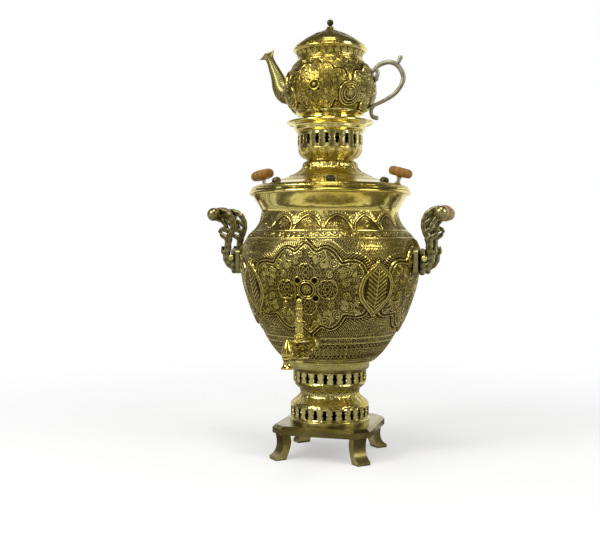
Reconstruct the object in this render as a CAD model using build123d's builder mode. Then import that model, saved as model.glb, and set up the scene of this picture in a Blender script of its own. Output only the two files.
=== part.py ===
"""A charcoal-fired Persian samovar in embossed brass, with the teapot that stands on its crown.

Millimetres, +Z up. The origin is on the vertical axis at the level that the feet stand on. The tap
points towards -Y, the two handles and the two lid knobs stand at -X (left) and +X (right), and the
teapot's spout points towards -X. Pieces are listed from the ground up.
"""

from build123d import *

import os
from math import cos, radians, sin, sqrt, tan

os.makedirs("parts", exist_ok=True)

# ---- metal and fits
sheet = 1.6  # wall of the spun brass shells
casting = 3.0  # wall of the pierced galleries
lift_gap = 0.3  # between pieces that lift apart by hand
fit_gap = 0.1  # between pieces that are brazed, riveted or screwed together
run_gap = 0.05  # radial gap of a piece that turns in another

# ---- stand: four feet under a square plate with cut corners
foot_high = 36.0
foot_wide = 20.0  # across the foot
foot_thick = 12.0  # where it meets the plate
foot_toe_high = 5.0
foot_toe_long = 16.0  # length of the pad on the ground
foot_flare = 6.0  # how far the toe stands out past the cut corner
foot_inset = 3.0  # from the cut corner to the foot's upper end
plate_half = 70.0
plate_cut = 18.0  # taken off each corner
plate_thick = 12.0
plate_bevel = 4.0
ash_hole_r = 40.0
screw_r = 2.0
screw_head_r = 4.0
screw_head_high = 3.0
screw_ring_r = 48.0  # circle of the four plinth screws
screw_bite = 5.0  # how far they go into the flange

# ---- pedestal: two pierced galleries with a spun waist between them
flange_r = 57.4
flange_high = 6.0
lower_gallery_r = 55.5
lower_gallery_high = 18.0
lower_slots = 26
waist_wall = 2.0
waist_r = 41.5
waist_low_high = 18.0  # from the lower gallery up to the narrowest place
waist_top_high = 16.0
upper_gallery_r = 51.8
upper_gallery_high = 15.0
upper_slots = 24
cornice_r = 56.8
cornice_high = 13.0
cornice_plate = 3.0
grate_seat_r = 35.0

# ---- baluster-shaped piercings of the galleries
slot_high = 13.4
slot_eye_r = 3.3
slot_bar_wide = 5.2
slot_bar_high = 3.4
slot_neck_wide = 3.6

# ---- body: one spun and embossed urn
base_r = 58.0
belly_r = 125.7
neck_r = 97.9
rim_r = 115.5
base_run = 24.2  # how far out and up the sheet sets off from the base
base_lift = 8.3
belly_rise = 150.0  # from the body's base to its widest place
neck_rise = 62.0  # from there to the neck
rim_rise = 30.0  # and on to the top of the rim
rim_bead_r = 3.2
medallion_half_wide = 82.0
medallion_half_high = 65.0
medallion_relief = 4.5
medallion_drop = 41.0  # medallion centre below the belly's widest place
boss_half_wide = 26.0
boss_half_high = 39.0
boss_relief = 6.0
neck_seam_rise = 1.0  # of the soldered seam above the medallions

# ---- fire tube and grate
tube_base_r = 40.0
tube_r = 27.5
tube_taper_high = 105.0
tube_stands_out = 8.0  # above the lid's neck
grate_thick = 3.0
grate_slot_wide = 5.0
grate_slot_pitch = 10.0

# ---- lid
lid_edge_inset = 2.3  # lid edge inside the body's rim
lid_edge_thick = 2.0
lid_flat_wide = 5.0  # of the edge that rests on the rim
lid_edge_bend = 4.0  # over which the edge turns into the shoulder
lid_shoulder_r = 102.0
lid_shoulder_rise = 8.0
lid_slope = 15.0  # degrees, of the cone that carries the knobs and the vents
lid_cone_in_r = 80.0
lid_sweep_out = 22.0  # over which the cone turns up towards the throat
lid_high = 46.0
lid_throat_r = 38.8
lid_throat_high = 36.0
lid_throat_bend = 8.0  # below the throat, where the sweep turns upright
lid_neck_r = 33.0
lid_neck_bend = 5.0
lid_seam_rise = 1.0  # of the collar's soldered seam above the throat
lid_skirt_below_neck = 5.0
vent_ring_r = 86.0
vent_count = 6
vent_first_angle = -75.0
vent_dome_r = 6.4
vent_dome_high = 5.6
vent_bore_r = 2.0
vent_side_hole_r = 0.9
knob_ring_r = 97.5
knob_disc_r = 17.0
knob_disc_high = 12.6
knob_stem_r = 2.7
knob_stem_high = 10.5
knob_collar_r = 4.6
knob_collar_high = 1.6
knob_spigot_r = 2.0
knob_spigot_into_disc = 7.0
knob_nut_r = 4.6
knob_nut_high = 3.2

# ---- crown that the teapot stands on
crown_cup_high = 14.5
crown_r = 45.5
crown_gallery_high = 22.5
crown_slots = 20
crown_dish_high = 15.5
crown_step_r = 50.5
crown_step_high = 6.5
crown_rim_r = 62.6
crown_bead_r = 1.8
crown_seat_r = 37.0  # bore of the plate that the teapot stands on

# ---- teapot
pot_wall = 1.4
pot_foot_r = 44.5
pot_foot_high = 8.5
pot_foot_waist_r = 42.5
pot_foot_bore_r = 40.0
pot_belly_r = 64.4
pot_belly_rise = 34.0
pot_neck_r = 45.3
pot_neck_rise = 47.5
pot_rim_r = 53.2
pot_rim_rise = 12.5
pot_bead_r = 1.6
pot_lid_edge_inset = 2.6
pot_lid_high = 31.0
pot_lid_top_r = 4.6
pot_lid_skirt_high = 14.0
pot_strainer_hole_r = 1.8
pot_strainer_ring_r = 6.0
finial_ball_r = 4.7
finial_neck_r = 2.1
finial_neck_high = 1.7
finial_tail = 6.0  # of the spigot, down through the lid
spout_wall = 1.6
spout_root_z = 518.0
spout_course = [
    # out from the axis, height, direction (out, up) and radius of each section
    (58.0, spout_root_z, (1.0, 0.3), 16.0),
    (73.0, spout_root_z + 9.0, (0.7, 0.8), 13.0),
    (79.5, spout_root_z + 23.0, (0.3, 1.0), 10.6),
    (84.5, spout_root_z + 38.0, (0.34, 0.95), 8.6),
    (88.5, spout_root_z + 49.0, (0.4, 0.9), 8.4),
    (96.5, spout_root_z + 62.0, (0.52, 0.85), 13.0),
]
strap_r = 2.5
strap_curl_r = 3.2  # balls that end the strap's curls
strap_top_z = 540.0
strap_course = [
    (59.5, strap_top_z),
    (64.0, strap_top_z + 6.0),
    (72.5, strap_top_z + 12.7),
    (85.5, strap_top_z + 15.5),
    (97.3, strap_top_z + 9.9),
    (104.8, strap_top_z - 3.2),
    (103.4, strap_top_z - 15.0),
    (94.4, strap_top_z - 27.6),
    (81.0, strap_top_z - 36.2),
    (64.8, strap_top_z - 43.3),
    (56.0, strap_top_z - 48.0),
    (50.0, strap_top_z - 50.0),
]

# ---- handles
saddle_face = 132.0  # from the axis to the saddle's flat outer face
saddle_half_wide = 33.0
saddle_low = 259.0
saddle_high = 294.0
lug_out = 14.0
lug_low = 273.0
lug_high = 285.0
lug_bevel = 4.0
saddle_corner_r = 5.0
saddle_rivet_r = 2.4
saddle_rivet_head_r = 4.2
saddle_rivet_head_high = 2.6
saddle_rivet_zs = (saddle_low + 5.5, saddle_high - 3.8)
arm_pin_x = 140.0
arm_pin_z = 281.5
arm_pin_r = 3.0
arm_pin_head_r = 4.7
arm_pin_head_high = 2.8
arm_mid_y = 25.0
arm_stem_out = 15.0  # from the saddle's face to the stem's middle
arm_scroll_in = 6.5  # and to the scroll where it comes nearest
arm_leaf_drop = 31.0  # of the leaves below the grip
arm_thick = 7.0
grip_x = 164.0
grip_z = 344.0
grip_end_r = 8.2
grip_mid_r = 11.4
grip_ferrule = 2.5  # plain stretch at each end of the grip
rod_r = 2.5
cap_ball_r = 9.5
cap_ball_out = 8.0  # ball centre beyond the arm's outer face
arm_eye_r = 8.8

# ---- tap
tap_z = 170.0
shank_r = 6.0
shank_collar_in = 8.0  # of the two collars, from the boss and from the barrel
tap_bore_r = 3.4
boss_ring_r = 11.0
boss_ring_out = 98.0
boss_ring_neck_r = 7.6
boss_ring_neck_out = 105.0
boss_ring_swell = (3.5, 1.2)  # out along the tap and in towards its axis, half way round the ring
shank_inner_end = 66.0
gasket_r = 10.5
gasket_face = 76.0
nut_flats = 17.0
nut_thick = 6.0
barrel_out = 156.0
barrel_r = 11.0
barrel_low = 14.0  # below the tap's axis
barrel_high = 10.0  # above it
barrel_bead_r = 1.5
plug_screw_tail = 1.0  # of the plug's screw below its nut
plug_top_r = 6.8
plug_low_r = 5.6
key_r = 4.2
key_high = 46.0
key_ring_heights = (4.5, 25.0, 41.0)
key_ring_rs = (6.2, 5.1, 5.1)
key_ring_thick = 2.2
key_ball_r = 4.0
key_tenon_half = 2.6
key_tenon_high = 6.0
plug_screw_r = 2.0
plug_washer_r = 7.6
plug_washer_thick = 1.6
plug_nut_r = 5.2
plug_nut_thick = 4.0
spout_out = 208.0
spout_arm_r = 5.2
spout_arm_rise = 7.0
spout_bulb_r = 6.8
spout_bulb_high = 17.0
spout_cap_high = 9.0  # point of the bulb above the arm
spout_bend = 6.0  # below the arm, where the spout hangs straight
nozzle_lip_r = 8.0
nozzle_throat_r = 5.2
nozzle_high = 11.0

# ---- levels, from the ground up
plate_z = foot_high
flange_z = plate_z + plate_thick
lower_gallery_z = flange_z + flange_high
waist_z = lower_gallery_z + lower_gallery_high
waist_neck_z = waist_z + waist_low_high
upper_gallery_z = waist_neck_z + waist_top_high
cornice_z = upper_gallery_z + upper_gallery_high
body_z = cornice_z + cornice_high
belly_z = body_z + belly_rise
neck_z = belly_z + neck_rise
rim_z = neck_z + rim_rise
lid_z = rim_z + lift_gap
lid_top_z = lid_z + lid_high
crown_z = lid_top_z + lift_gap
crown_gallery_z = crown_z + crown_cup_high
crown_dish_z = crown_gallery_z + crown_gallery_high
crown_top_z = crown_dish_z + crown_dish_high
pot_foot_z = crown_top_z + lift_gap
pot_z = pot_foot_z + pot_foot_high
pot_belly_z = pot_z + pot_belly_rise
pot_neck_z = pot_belly_z + pot_neck_rise
pot_rim_z = pot_neck_z + pot_rim_rise
pot_lid_z = pot_rim_z + lift_gap
pot_lid_top_z = pot_lid_z + pot_lid_high
medallion_z = belly_z - medallion_drop
neck_seam_z = medallion_z + medallion_half_high + neck_seam_rise


def keep(piece, name):
    """Name a finished piece and write it to a STEP file of its own."""
    piece.part.label = name
    export_step(piece.part, f"parts/{name}.step")


def radial_plane(angle, out, height):
    """A plane that faces outwards at an angle about the axis; its own y axis points up."""
    facing = Vector(cos(radians(angle)), sin(radians(angle)), 0)
    return Plane(facing * out + Vector(0, 0, height), x_dir=Vector(-facing.Y, facing.X, 0), z_dir=facing)


def shifted(curve, distance):
    """A line that follows another at a distance, on the left of its direction."""
    steps = [n / 8 for n in range(9)]
    points = [curve @ t + (curve % t).rotate(Axis.Z, 90) * distance for t in steps]
    return Spline(*points, tangents=(curve % 0, curve % 1))


def spun_section(curves, wall):
    """Close a smooth outline into a section one wall thick, inside the outline."""
    inner = [shifted(curve, wall) for curve in curves]
    Line(curves[0] @ 0, inner[0] @ 0)
    Line(curves[-1] @ 1, inner[-1] @ 1)


def slot_cutters(count, wall_r, height):
    """Prisms for a ring of baluster-shaped slots: a round eye between two bars."""
    step = 360 / count
    planes = [radial_plane(step * (n + 0.5) - 90, wall_r - 2 * casting, height) for n in range(count)]
    bar_y = (slot_high - slot_bar_high) / 2
    with BuildPart() as cutters:
        with BuildSketch(*planes):
            Circle(slot_eye_r)
            Rectangle(slot_neck_wide, slot_high - slot_bar_high)
            with Locations((0, bar_y), (0, -bar_y)):
                RectangleRounded(slot_bar_wide, slot_bar_high, slot_bar_high * 0.4)
        extrude(amount=3 * casting)
    return cutters.part


# ==== stand
corner_r = (2 * plate_half - plate_cut) / sqrt(2)
foot_top_r = corner_r - foot_inset
toe_r = corner_r + foot_flare
corner_directions = [Vector(cos(radians(a)), sin(radians(a)), 0) for a in (45, 135, 225, 315)]
foot_planes = [Plane((0, 0, 0), x_dir=out, z_dir=(out.Y, -out.X, 0)) for out in corner_directions]
with BuildPart() as feet:
    with BuildSketch(*foot_planes):
        with BuildLine():
            Bezier(
                (foot_top_r, foot_high),
                (foot_top_r - foot_thick / 2, foot_high / 2),
                (foot_top_r, foot_toe_high * 1.6),
                (toe_r, foot_toe_high),
            )
            Polyline((toe_r, foot_toe_high), (toe_r, 0), (toe_r - foot_toe_long, 0))
            Bezier(
                (toe_r - foot_toe_long, 0),
                (foot_top_r - foot_thick, foot_high * 0.35),
                (foot_top_r - foot_thick * 1.6, foot_high * 0.7),
                (foot_top_r - foot_thick, foot_high),
            )
            Line((foot_top_r - foot_thick, foot_high), (foot_top_r, foot_high))
        make_face()
    extrude(amount=foot_wide / 2, both=True)
keep(feet, "feet")

with BuildPart() as plinth_plate:
    with BuildSketch(Plane.XY.offset(plate_z)) as plate_outline:
        Rectangle(2 * plate_half, 2 * plate_half)
        chamfer(plate_outline.vertices(), length=plate_cut)
        Circle(ash_hole_r, mode=Mode.SUBTRACT)
        with PolarLocations(screw_ring_r, 4):
            Circle(screw_r + fit_gap, mode=Mode.SUBTRACT)
    extrude(amount=plate_thick)
    plate_top = plinth_plate.faces().filter_by(Axis.Z).sort_by(Axis.Z)[-1]
    chamfer(plate_top.outer_wire().edges(), length=plate_bevel)
keep(plinth_plate, "plinth_plate")

with BuildPart() as plinth_screws:
    with BuildSketch(Plane.XY.offset(plate_z - screw_head_high)):
        with PolarLocations(screw_ring_r, 4):
            Circle(screw_head_r)
    extrude(amount=screw_head_high)
    with BuildSketch(Plane.XY.offset(plate_z)):
        with PolarLocations(screw_ring_r, 4):
            Circle(screw_r)
    extrude(amount=plate_thick + screw_bite - fit_gap)
keep(plinth_screws, "plinth_screws")

# ==== pedestal
with BuildPart() as pedestal_foot_gallery:
    with BuildSketch(Plane.XY.offset(flange_z)):
        Circle(flange_r)
        Circle(ash_hole_r, mode=Mode.SUBTRACT)
    extrude(amount=flange_high)
    fillet(pedestal_foot_gallery.edges().group_by(Axis.Z)[-1].sort_by(SortBy.RADIUS)[-1], flange_high * 0.3)
    with BuildSketch(Plane.XY.offset(lower_gallery_z)):
        Circle(lower_gallery_r)
        Circle(lower_gallery_r - casting, mode=Mode.SUBTRACT)
    extrude(amount=lower_gallery_high)
    with BuildSketch(Plane.XY.offset(flange_z)):
        with PolarLocations(screw_ring_r, 4):
            Circle(screw_r + fit_gap)
    extrude(amount=screw_bite, mode=Mode.SUBTRACT)
    add(
        slot_cutters(lower_slots, lower_gallery_r, lower_gallery_z + lower_gallery_high / 2),
        mode=Mode.SUBTRACT,
    )
keep(pedestal_foot_gallery, "pedestal_foot_gallery")

with BuildPart() as pedestal_waist:
    with BuildSketch(Plane.XZ):
        with BuildLine():
            waist_low = Bezier(
                (lower_gallery_r, waist_z),
                (lower_gallery_r, waist_z + waist_low_high / 3),
                (waist_r, waist_neck_z - waist_low_high / 2),
                (waist_r, waist_neck_z),
            )
            waist_top = Bezier(
                (waist_r, waist_neck_z),
                (waist_r, waist_neck_z + waist_top_high / 2),
                (upper_gallery_r, upper_gallery_z - waist_top_high / 3),
                (upper_gallery_r, upper_gallery_z),
            )
            spun_section([waist_low, waist_top], waist_wall)
        make_face()
    revolve(axis=Axis.Z)
keep(pedestal_waist, "pedestal_waist")

with BuildPart() as pedestal_top_gallery:
    with BuildSketch(Plane.XZ):
        with BuildLine():
            Polyline(
                (upper_gallery_r - casting, upper_gallery_z),
                (upper_gallery_r, upper_gallery_z),
                (upper_gallery_r, cornice_z),
                (cornice_r - casting, cornice_z + cornice_high * 0.2),
            )
            ThreePointArc(
                (cornice_r - casting, cornice_z + cornice_high * 0.2),
                (cornice_r - casting * 0.3, cornice_z + cornice_high * 0.32),
                (cornice_r, cornice_z + cornice_high * 0.6),
            )
            Polyline(
                (cornice_r, cornice_z + cornice_high * 0.6),
                (cornice_r, body_z),
                (grate_seat_r, body_z),
                (grate_seat_r, body_z - cornice_plate),
                (upper_gallery_r - casting, body_z - cornice_plate),
                (upper_gallery_r - casting, upper_gallery_z),
            )
        make_face()
    revolve(axis=Axis.Z)
    add(
        slot_cutters(upper_slots, upper_gallery_r, upper_gallery_z + upper_gallery_high / 2),
        mode=Mode.SUBTRACT,
    )
keep(pedestal_top_gallery, "pedestal_top_gallery")

# ==== fire: a tapered tube that runs up through the body and the lid, over a grate
tube_top_z = lid_top_z + tube_stands_out
with BuildPart() as fire_tube:
    with BuildSketch(Plane.XZ):
        with BuildLine():
            taper = Bezier(
                (tube_base_r, body_z),
                (tube_base_r, body_z + tube_taper_high / 2),
                (tube_r, body_z + tube_taper_high / 2),
                (tube_r, body_z + tube_taper_high),
            )
            straight = Line((tube_r, body_z + tube_taper_high), (tube_r, tube_top_z))
            spun_section([taper, straight], sheet)
        make_face()
    revolve(axis=Axis.Z)
keep(fire_tube, "fire_tube")

grate_r = tube_base_r - sheet - lift_gap
with BuildPart() as grate:
    with BuildSketch(Plane.XY.offset(body_z)):
        Circle(grate_r)
        for n in range(-2, 3):
            bar_y = n * grate_slot_pitch
            half_chord = sqrt(grate_r**2 - (abs(bar_y) + grate_slot_wide / 2) ** 2)
            with Locations((0, bar_y)):
                SlotOverall(2 * (half_chord - casting), grate_slot_wide, mode=Mode.SUBTRACT)
    extrude(amount=grate_thick)
keep(grate, "grate")


# ==== body
def body_outline(mode=Mode.ADD):
    """The urn's outer line, from its base to its rim."""
    lower = Bezier(
        (base_r, body_z),
        (base_r + base_run, body_z + base_lift),
        (belly_r, belly_z - belly_rise * 0.41),
        (belly_r, belly_z),
        mode=mode,
    )
    shoulder = Bezier(
        (belly_r, belly_z),
        (belly_r, belly_z + neck_rise * 0.63),
        (neck_r, neck_z - neck_rise * 0.48),
        (neck_r, neck_z),
        mode=mode,
    )
    flare = Bezier(
        (neck_r, neck_z),
        (neck_r, neck_z + rim_rise * 0.2),
        (neck_r + (rim_r - neck_r) * 0.35, neck_z + rim_rise * 0.4),
        (rim_r - rim_bead_r, rim_z - rim_bead_r),
        mode=mode,
    )
    return lower, shoulder, flare


def solid_urn(stand_out):
    """The urn as one solid of revolution, with its skin moved outwards."""
    with BuildPart() as urn:
        with BuildSketch(Plane.XZ):
            with BuildLine():
                skin = [shifted(curve, -stand_out) for curve in body_outline(Mode.PRIVATE)]
                low, top = skin[0] @ 0, skin[-1] @ 1
                Polyline(top, (0, top.Y), (0, low.Y), low)
            make_face()
        revolve(axis=Axis.Z)
    return urn.part


def medallion_quarter(wide, high):
    """Lobes from the medallion's tip to its side, in one quarter."""
    notches = [
        (0, high),
        (0.18 * wide, 0.80 * high),
        (0.57 * wide, 0.58 * high),
        (0.93 * wide, 0.31 * high),
    ]
    Line(notches[0], notches[1])
    ThreePointArc(notches[1], (0.38 * wide, 0.84 * high), notches[2])
    ThreePointArc(notches[2], (0.83 * wide, 0.57 * high), notches[3])
    ThreePointArc(notches[3], (0.98 * wide, 0.16 * high), (wide, 0))


def boss_half(wide, high):
    """One side of a teardrop boss, from its top to its tail."""
    Bezier((0, high), (wide * 0.35, high * 0.62), (wide, high * 0.62), (wide, 0))
    Bezier((wide, 0), (wide, -high * 0.5), (wide * 0.3, -high * 0.7), (0, -high))


def raised_urn(inset):
    """The urn with its four medallions and four bosses; inset draws them smaller and lower."""
    prism_start = base_r / 2
    prism_long = belly_r
    medallion_planes = [radial_plane(angle, prism_start, medallion_z) for angle in (-90, 0, 90, 180)]
    boss_planes = [radial_plane(angle, prism_start, medallion_z) for angle in (-45, 45, 135, 225)]
    with BuildPart() as medallions:
        with BuildSketch(*medallion_planes):
            with BuildLine():
                for across in (-1, 1):
                    for up in (-1, 1):
                        medallion_quarter(
                            across * (medallion_half_wide - inset),
                            up * (medallion_half_high - inset),
                        )
            make_face()
        extrude(amount=prism_long)
        add(solid_urn(medallion_relief - inset), mode=Mode.INTERSECT)
    with BuildPart() as bosses:
        with BuildSketch(*boss_planes):
            with BuildLine():
                for across in (-1, 1):
                    boss_half(across * (boss_half_wide - inset), boss_half_high - inset)
            make_face()
        extrude(amount=prism_long)
        add(solid_urn(boss_relief - inset), mode=Mode.INTERSECT)
    return medallions.part, bosses.part


outer_medallions, outer_bosses = raised_urn(0)
inner_medallions, inner_bosses = raised_urn(sheet)
with BuildPart() as urn_envelope:
    add(solid_urn(0))
    add(outer_medallions)
    add(outer_bosses)
with BuildPart() as saddle_bed:
    add(solid_urn(fit_gap))
    for raised in raised_urn(-fit_gap):
        add(raised)
with BuildPart() as urn_cavity:
    add(solid_urn(-sheet))
    add(inner_medallions)
    add(inner_bosses)

saddle_rivet_hole_r = saddle_rivet_r + fit_gap
across_planes = [radial_plane(angle, 0, 0) for angle in (0, 180)]
with BuildPart() as urn_sheet:
    add(urn_envelope.part)
    add(urn_cavity.part, mode=Mode.SUBTRACT)
    # floor round the foot of the fire tube
    with BuildSketch(Plane.XY.offset(body_z)):
        Circle(base_r)
    extrude(amount=sheet)
    with BuildSketch(Plane.XY.offset(body_z)):
        Circle(tube_base_r + fit_gap)
    extrude(amount=tube_taper_high / 4, mode=Mode.SUBTRACT)
    # rolled bead round the rim, and the open mouth inside it
    with BuildSketch(Plane.XZ):
        with Locations((rim_r - rim_bead_r, rim_z - rim_bead_r)):
            Circle(rim_bead_r)
    revolve(axis=Axis.Z)
    # holes for the tap's shank and for the saddles' rivets
    with BuildSketch(radial_plane(-90, 0, tap_z)):
        Circle(shank_r + fit_gap)
    extrude(amount=belly_r + boss_relief, mode=Mode.SUBTRACT)
    with BuildSketch(*across_planes):
        with Locations(*[(0, z) for z in saddle_rivet_zs]):
            Circle(saddle_rivet_hole_r)
    extrude(amount=saddle_face, mode=Mode.SUBTRACT)

# the body is spun in two pieces, soldered together over the medallions
with BuildPart() as body_shell:
    add(urn_sheet.part)
    split(bisect_by=Plane.XY.offset(neck_seam_z), keep=Keep.BOTTOM)
keep(body_shell, "body_shell")

with BuildPart() as body_neck:
    add(urn_sheet.part)
    split(bisect_by=Plane.XY.offset(neck_seam_z), keep=Keep.TOP)
keep(body_neck, "body_neck")


# ==== handles: on each side a riveted saddle, two scroll arms and a turned grip on its tie rod
arm_inner_y = arm_mid_y - arm_thick / 2
arm_outer_y = arm_mid_y + arm_thick / 2
arm_stem_x = saddle_face + arm_stem_out
arm_leaf_z = grip_z - arm_leaf_drop
arm_in_x = saddle_face + arm_scroll_in
arm_strokes = [
    # stem
    (
        [
            (arm_stem_x, saddle_high),
            (arm_stem_x - 1.5, arm_leaf_z - 6),
            (arm_stem_x - 4, arm_leaf_z + 2),
        ],
        9.0,
    ),
    # scroll that climbs on the inside and curls over to the eye
    (
        [
            (arm_stem_x - 4, arm_leaf_z),
            (arm_in_x, grip_z - 20),
            (arm_in_x, grip_z - 12),
            (arm_in_x + 6.5, grip_z),
            (grip_x - 10, grip_z + 5.5),
            (grip_x - 2, grip_z + 6),
        ],
        5.0,
    ),
    # two leaves, and the tendril from the upper one to the eye
    (
        [
            (arm_stem_x - 3, arm_leaf_z - 4),
            (arm_stem_x + 4, arm_leaf_z - 1),
            (arm_stem_x + 10.5, arm_leaf_z),
        ],
        5.0,
    ),
    (
        [
            (arm_stem_x - 6, arm_leaf_z + 4),
            (arm_stem_x + 3, arm_leaf_z + 8),
            (arm_stem_x + 12, arm_leaf_z + 10),
        ],
        5.0,
    ),
    ([(arm_stem_x + 3, arm_leaf_z + 8), (arm_stem_x + 5, arm_leaf_z + 17), (grip_x - 5, grip_z - 5)], 4.5),
]


def mirrored_for(side):
    """In a part builder: turn the piece drawn at +X into its left-hand twin."""
    if side == "left":
        mirror(about=Plane.YZ, mode=Mode.REPLACE)


for side in ("right", "left"):
    with BuildPart() as saddle:
        with BuildSketch(Plane.YZ.offset(belly_r / 2)):
            with Locations((0, (saddle_low + saddle_high) / 2)):
                RectangleRounded(2 * saddle_half_wide, saddle_high - saddle_low, saddle_corner_r)
        extrude(amount=saddle_face - belly_r / 2)
        add(saddle_bed.part, mode=Mode.SUBTRACT)
        with BuildSketch(Plane.XZ):
            with BuildLine():
                Polyline(
                    (saddle_face - fit_gap, lug_low),
                    (saddle_face + lug_out - lug_bevel, lug_low),
                    (saddle_face + lug_out, (lug_low + lug_high) / 2),
                    (saddle_face + lug_out - lug_bevel, lug_high),
                    (saddle_face - fit_gap, lug_high),
                    close=True,
                )
            make_face()
        extrude(amount=arm_inner_y - fit_gap, both=True)
        with BuildSketch(Plane.XZ):
            with Locations((arm_pin_x, arm_pin_z)):
                Circle(arm_pin_r + fit_gap)
        extrude(amount=arm_inner_y, both=True, mode=Mode.SUBTRACT)
        with BuildSketch(radial_plane(0, 0, 0)):
            with Locations(*[(0, z) for z in saddle_rivet_zs]):
                Circle(saddle_rivet_hole_r)
        extrude(amount=saddle_face + fit_gap, mode=Mode.SUBTRACT)
        mirrored_for(side)
    keep(saddle, f"handle_saddle_{side}")

    rivet_tail = belly_r + medallion_relief - sheet - 2 * saddle_rivet_head_high
    with BuildPart() as saddle_rivets:
        with BuildSketch(radial_plane(0, rivet_tail, 0)):
            with Locations(*[(0, z) for z in saddle_rivet_zs]):
                Circle(saddle_rivet_head_r)
        extrude(amount=saddle_face - rivet_tail)
        add(urn_cavity.part, mode=Mode.INTERSECT)
        with BuildSketch(radial_plane(0, rivet_tail, 0)):
            with Locations(*[(0, z) for z in saddle_rivet_zs]):
                Circle(saddle_rivet_r)
        extrude(amount=saddle_face + saddle_rivet_head_high - rivet_tail)
        with BuildSketch(radial_plane(0, saddle_face + fit_gap, 0)):
            with Locations(*[(0, z) for z in saddle_rivet_zs]):
                Circle(saddle_rivet_head_r)
        extrude(amount=saddle_rivet_head_high, taper=20)
        mirrored_for(side)
    keep(saddle_rivets, f"handle_saddle_rivets_{side}")

    for place, face_y in (("front", -arm_outer_y), ("back", arm_inner_y)):
        with BuildPart() as arm:
            with BuildSketch(Plane.XZ.offset(-face_y)):
                with BuildLine():
                    Polyline(
                        (arm_stem_x + 6, saddle_high - 3),
                        (arm_stem_x + 4.5, saddle_high + 3),
                        (arm_stem_x - 4, saddle_high + 3),
                        (arm_stem_x - 5, saddle_high - 1),
                        (saddle_face + fit_gap, saddle_high - 1),
                        (saddle_face + fit_gap, saddle_low + 2),
                        (saddle_face + 9, saddle_low + 2),
                        (saddle_face + 8, saddle_low + 10),
                    )
                    ThreePointArc(
                        (saddle_face + 8, saddle_low + 10),
                        (arm_stem_x + 3, saddle_low + 18),
                        (arm_stem_x + 6, saddle_high - 3),
                    )
                make_face()
                for points, wide in arm_strokes:
                    with BuildLine() as stroke:
                        Spline(*points)
                    trace(line_width=wide)
                    with Locations(stroke.line @ 1):
                        Circle(wide * 0.62)
                with Locations((grip_x, grip_z)):
                    Circle(arm_eye_r)
                    Circle(rod_r + fit_gap, mode=Mode.SUBTRACT)
                with Locations((arm_pin_x, arm_pin_z)):
                    Circle(arm_pin_r + fit_gap, mode=Mode.SUBTRACT)
            extrude(amount=-arm_thick)
            mirrored_for(side)
        keep(arm, f"handle_arm_{side}_{place}")

    pin_head_y = arm_outer_y + fit_gap
    with BuildPart() as arm_pin:
        with BuildSketch(Plane.XZ):
            with Locations((arm_pin_x, arm_pin_z)):
                Circle(arm_pin_head_r)
        extrude(amount=pin_head_y + arm_pin_head_high, both=True)
        fillet(arm_pin.edges().filter_by(GeomType.CIRCLE), arm_pin_head_high * 0.9)
        with BuildSketch(Plane.XZ):
            with Locations((arm_pin_x, arm_pin_z)):
                Circle(2 * arm_pin_head_r)
                Circle(arm_pin_r, mode=Mode.SUBTRACT)
        extrude(amount=pin_head_y, both=True, mode=Mode.SUBTRACT)
        mirrored_for(side)
    keep(arm_pin, f"handle_pin_{side}")

    grip_half = arm_inner_y - lift_gap
    with BuildPart() as grip:
        with BuildSketch(Plane.YZ.offset(grip_x)):
            with BuildLine():
                bulge = Spline(
                    (-grip_half + grip_ferrule, grip_z + grip_end_r * 0.85),
                    (-grip_half / 2, grip_z + grip_mid_r * 0.93),
                    (0, grip_z + grip_mid_r),
                    (grip_half / 2, grip_z + grip_mid_r * 0.93),
                    (grip_half - grip_ferrule, grip_z + grip_end_r * 0.85),
                )
                Polyline(
                    bulge @ 1,
                    (grip_half - grip_ferrule, grip_z + grip_end_r),
                    (grip_half, grip_z + grip_end_r),
                )
                Polyline(
                    (grip_half, grip_z + grip_end_r),
                    (grip_half, grip_z + rod_r + run_gap),
                    (-grip_half, grip_z + rod_r + run_gap),
                    (-grip_half, grip_z + grip_end_r),
                    (-grip_half + grip_ferrule, grip_z + grip_end_r),
                    bulge @ 0,
                )
            make_face()
        revolve(axis=Axis((grip_x, 0, grip_z), (0, 1, 0)))
        mirrored_for(side)
    keep(grip, f"handle_grip_{side}")

    rod_half = arm_outer_y + cap_ball_out
    with BuildPart() as tie_rod:
        with BuildSketch(Plane.XZ):
            with Locations((grip_x, grip_z)):
                Circle(rod_r)
        extrude(amount=rod_half, both=True)
        mirrored_for(side)
    keep(tie_rod, f"handle_rod_{side}")

    with BuildPart() as caps:
        with Locations((grip_x, rod_half, grip_z), (grip_x, -rod_half, grip_z)):
            Sphere(cap_ball_r)
        with BuildSketch(Plane.XZ):
            with Locations((grip_x, grip_z)):
                Circle(2 * cap_ball_r)
        extrude(amount=arm_outer_y + fit_gap, both=True, mode=Mode.SUBTRACT)
        with BuildSketch(Plane.XZ):
            with Locations((grip_x, grip_z)):
                Circle(rod_r + fit_gap)
        extrude(amount=rod_half + fit_gap, both=True, mode=Mode.SUBTRACT)
        mirrored_for(side)
    keep(caps, f"handle_caps_{side}")


# ==== tap: all on one axis that points towards -Y at tap_z, with the key's axis upright
tap_plane = radial_plane(-90, 0, tap_z)  # its own z axis runs out along the tap
barrel_top_z = tap_z + barrel_high
barrel_low_z = tap_z - barrel_low


def upright_plane(height):
    """A level plane centred on the key's axis."""
    return Plane((0, -barrel_out, height))


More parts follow.
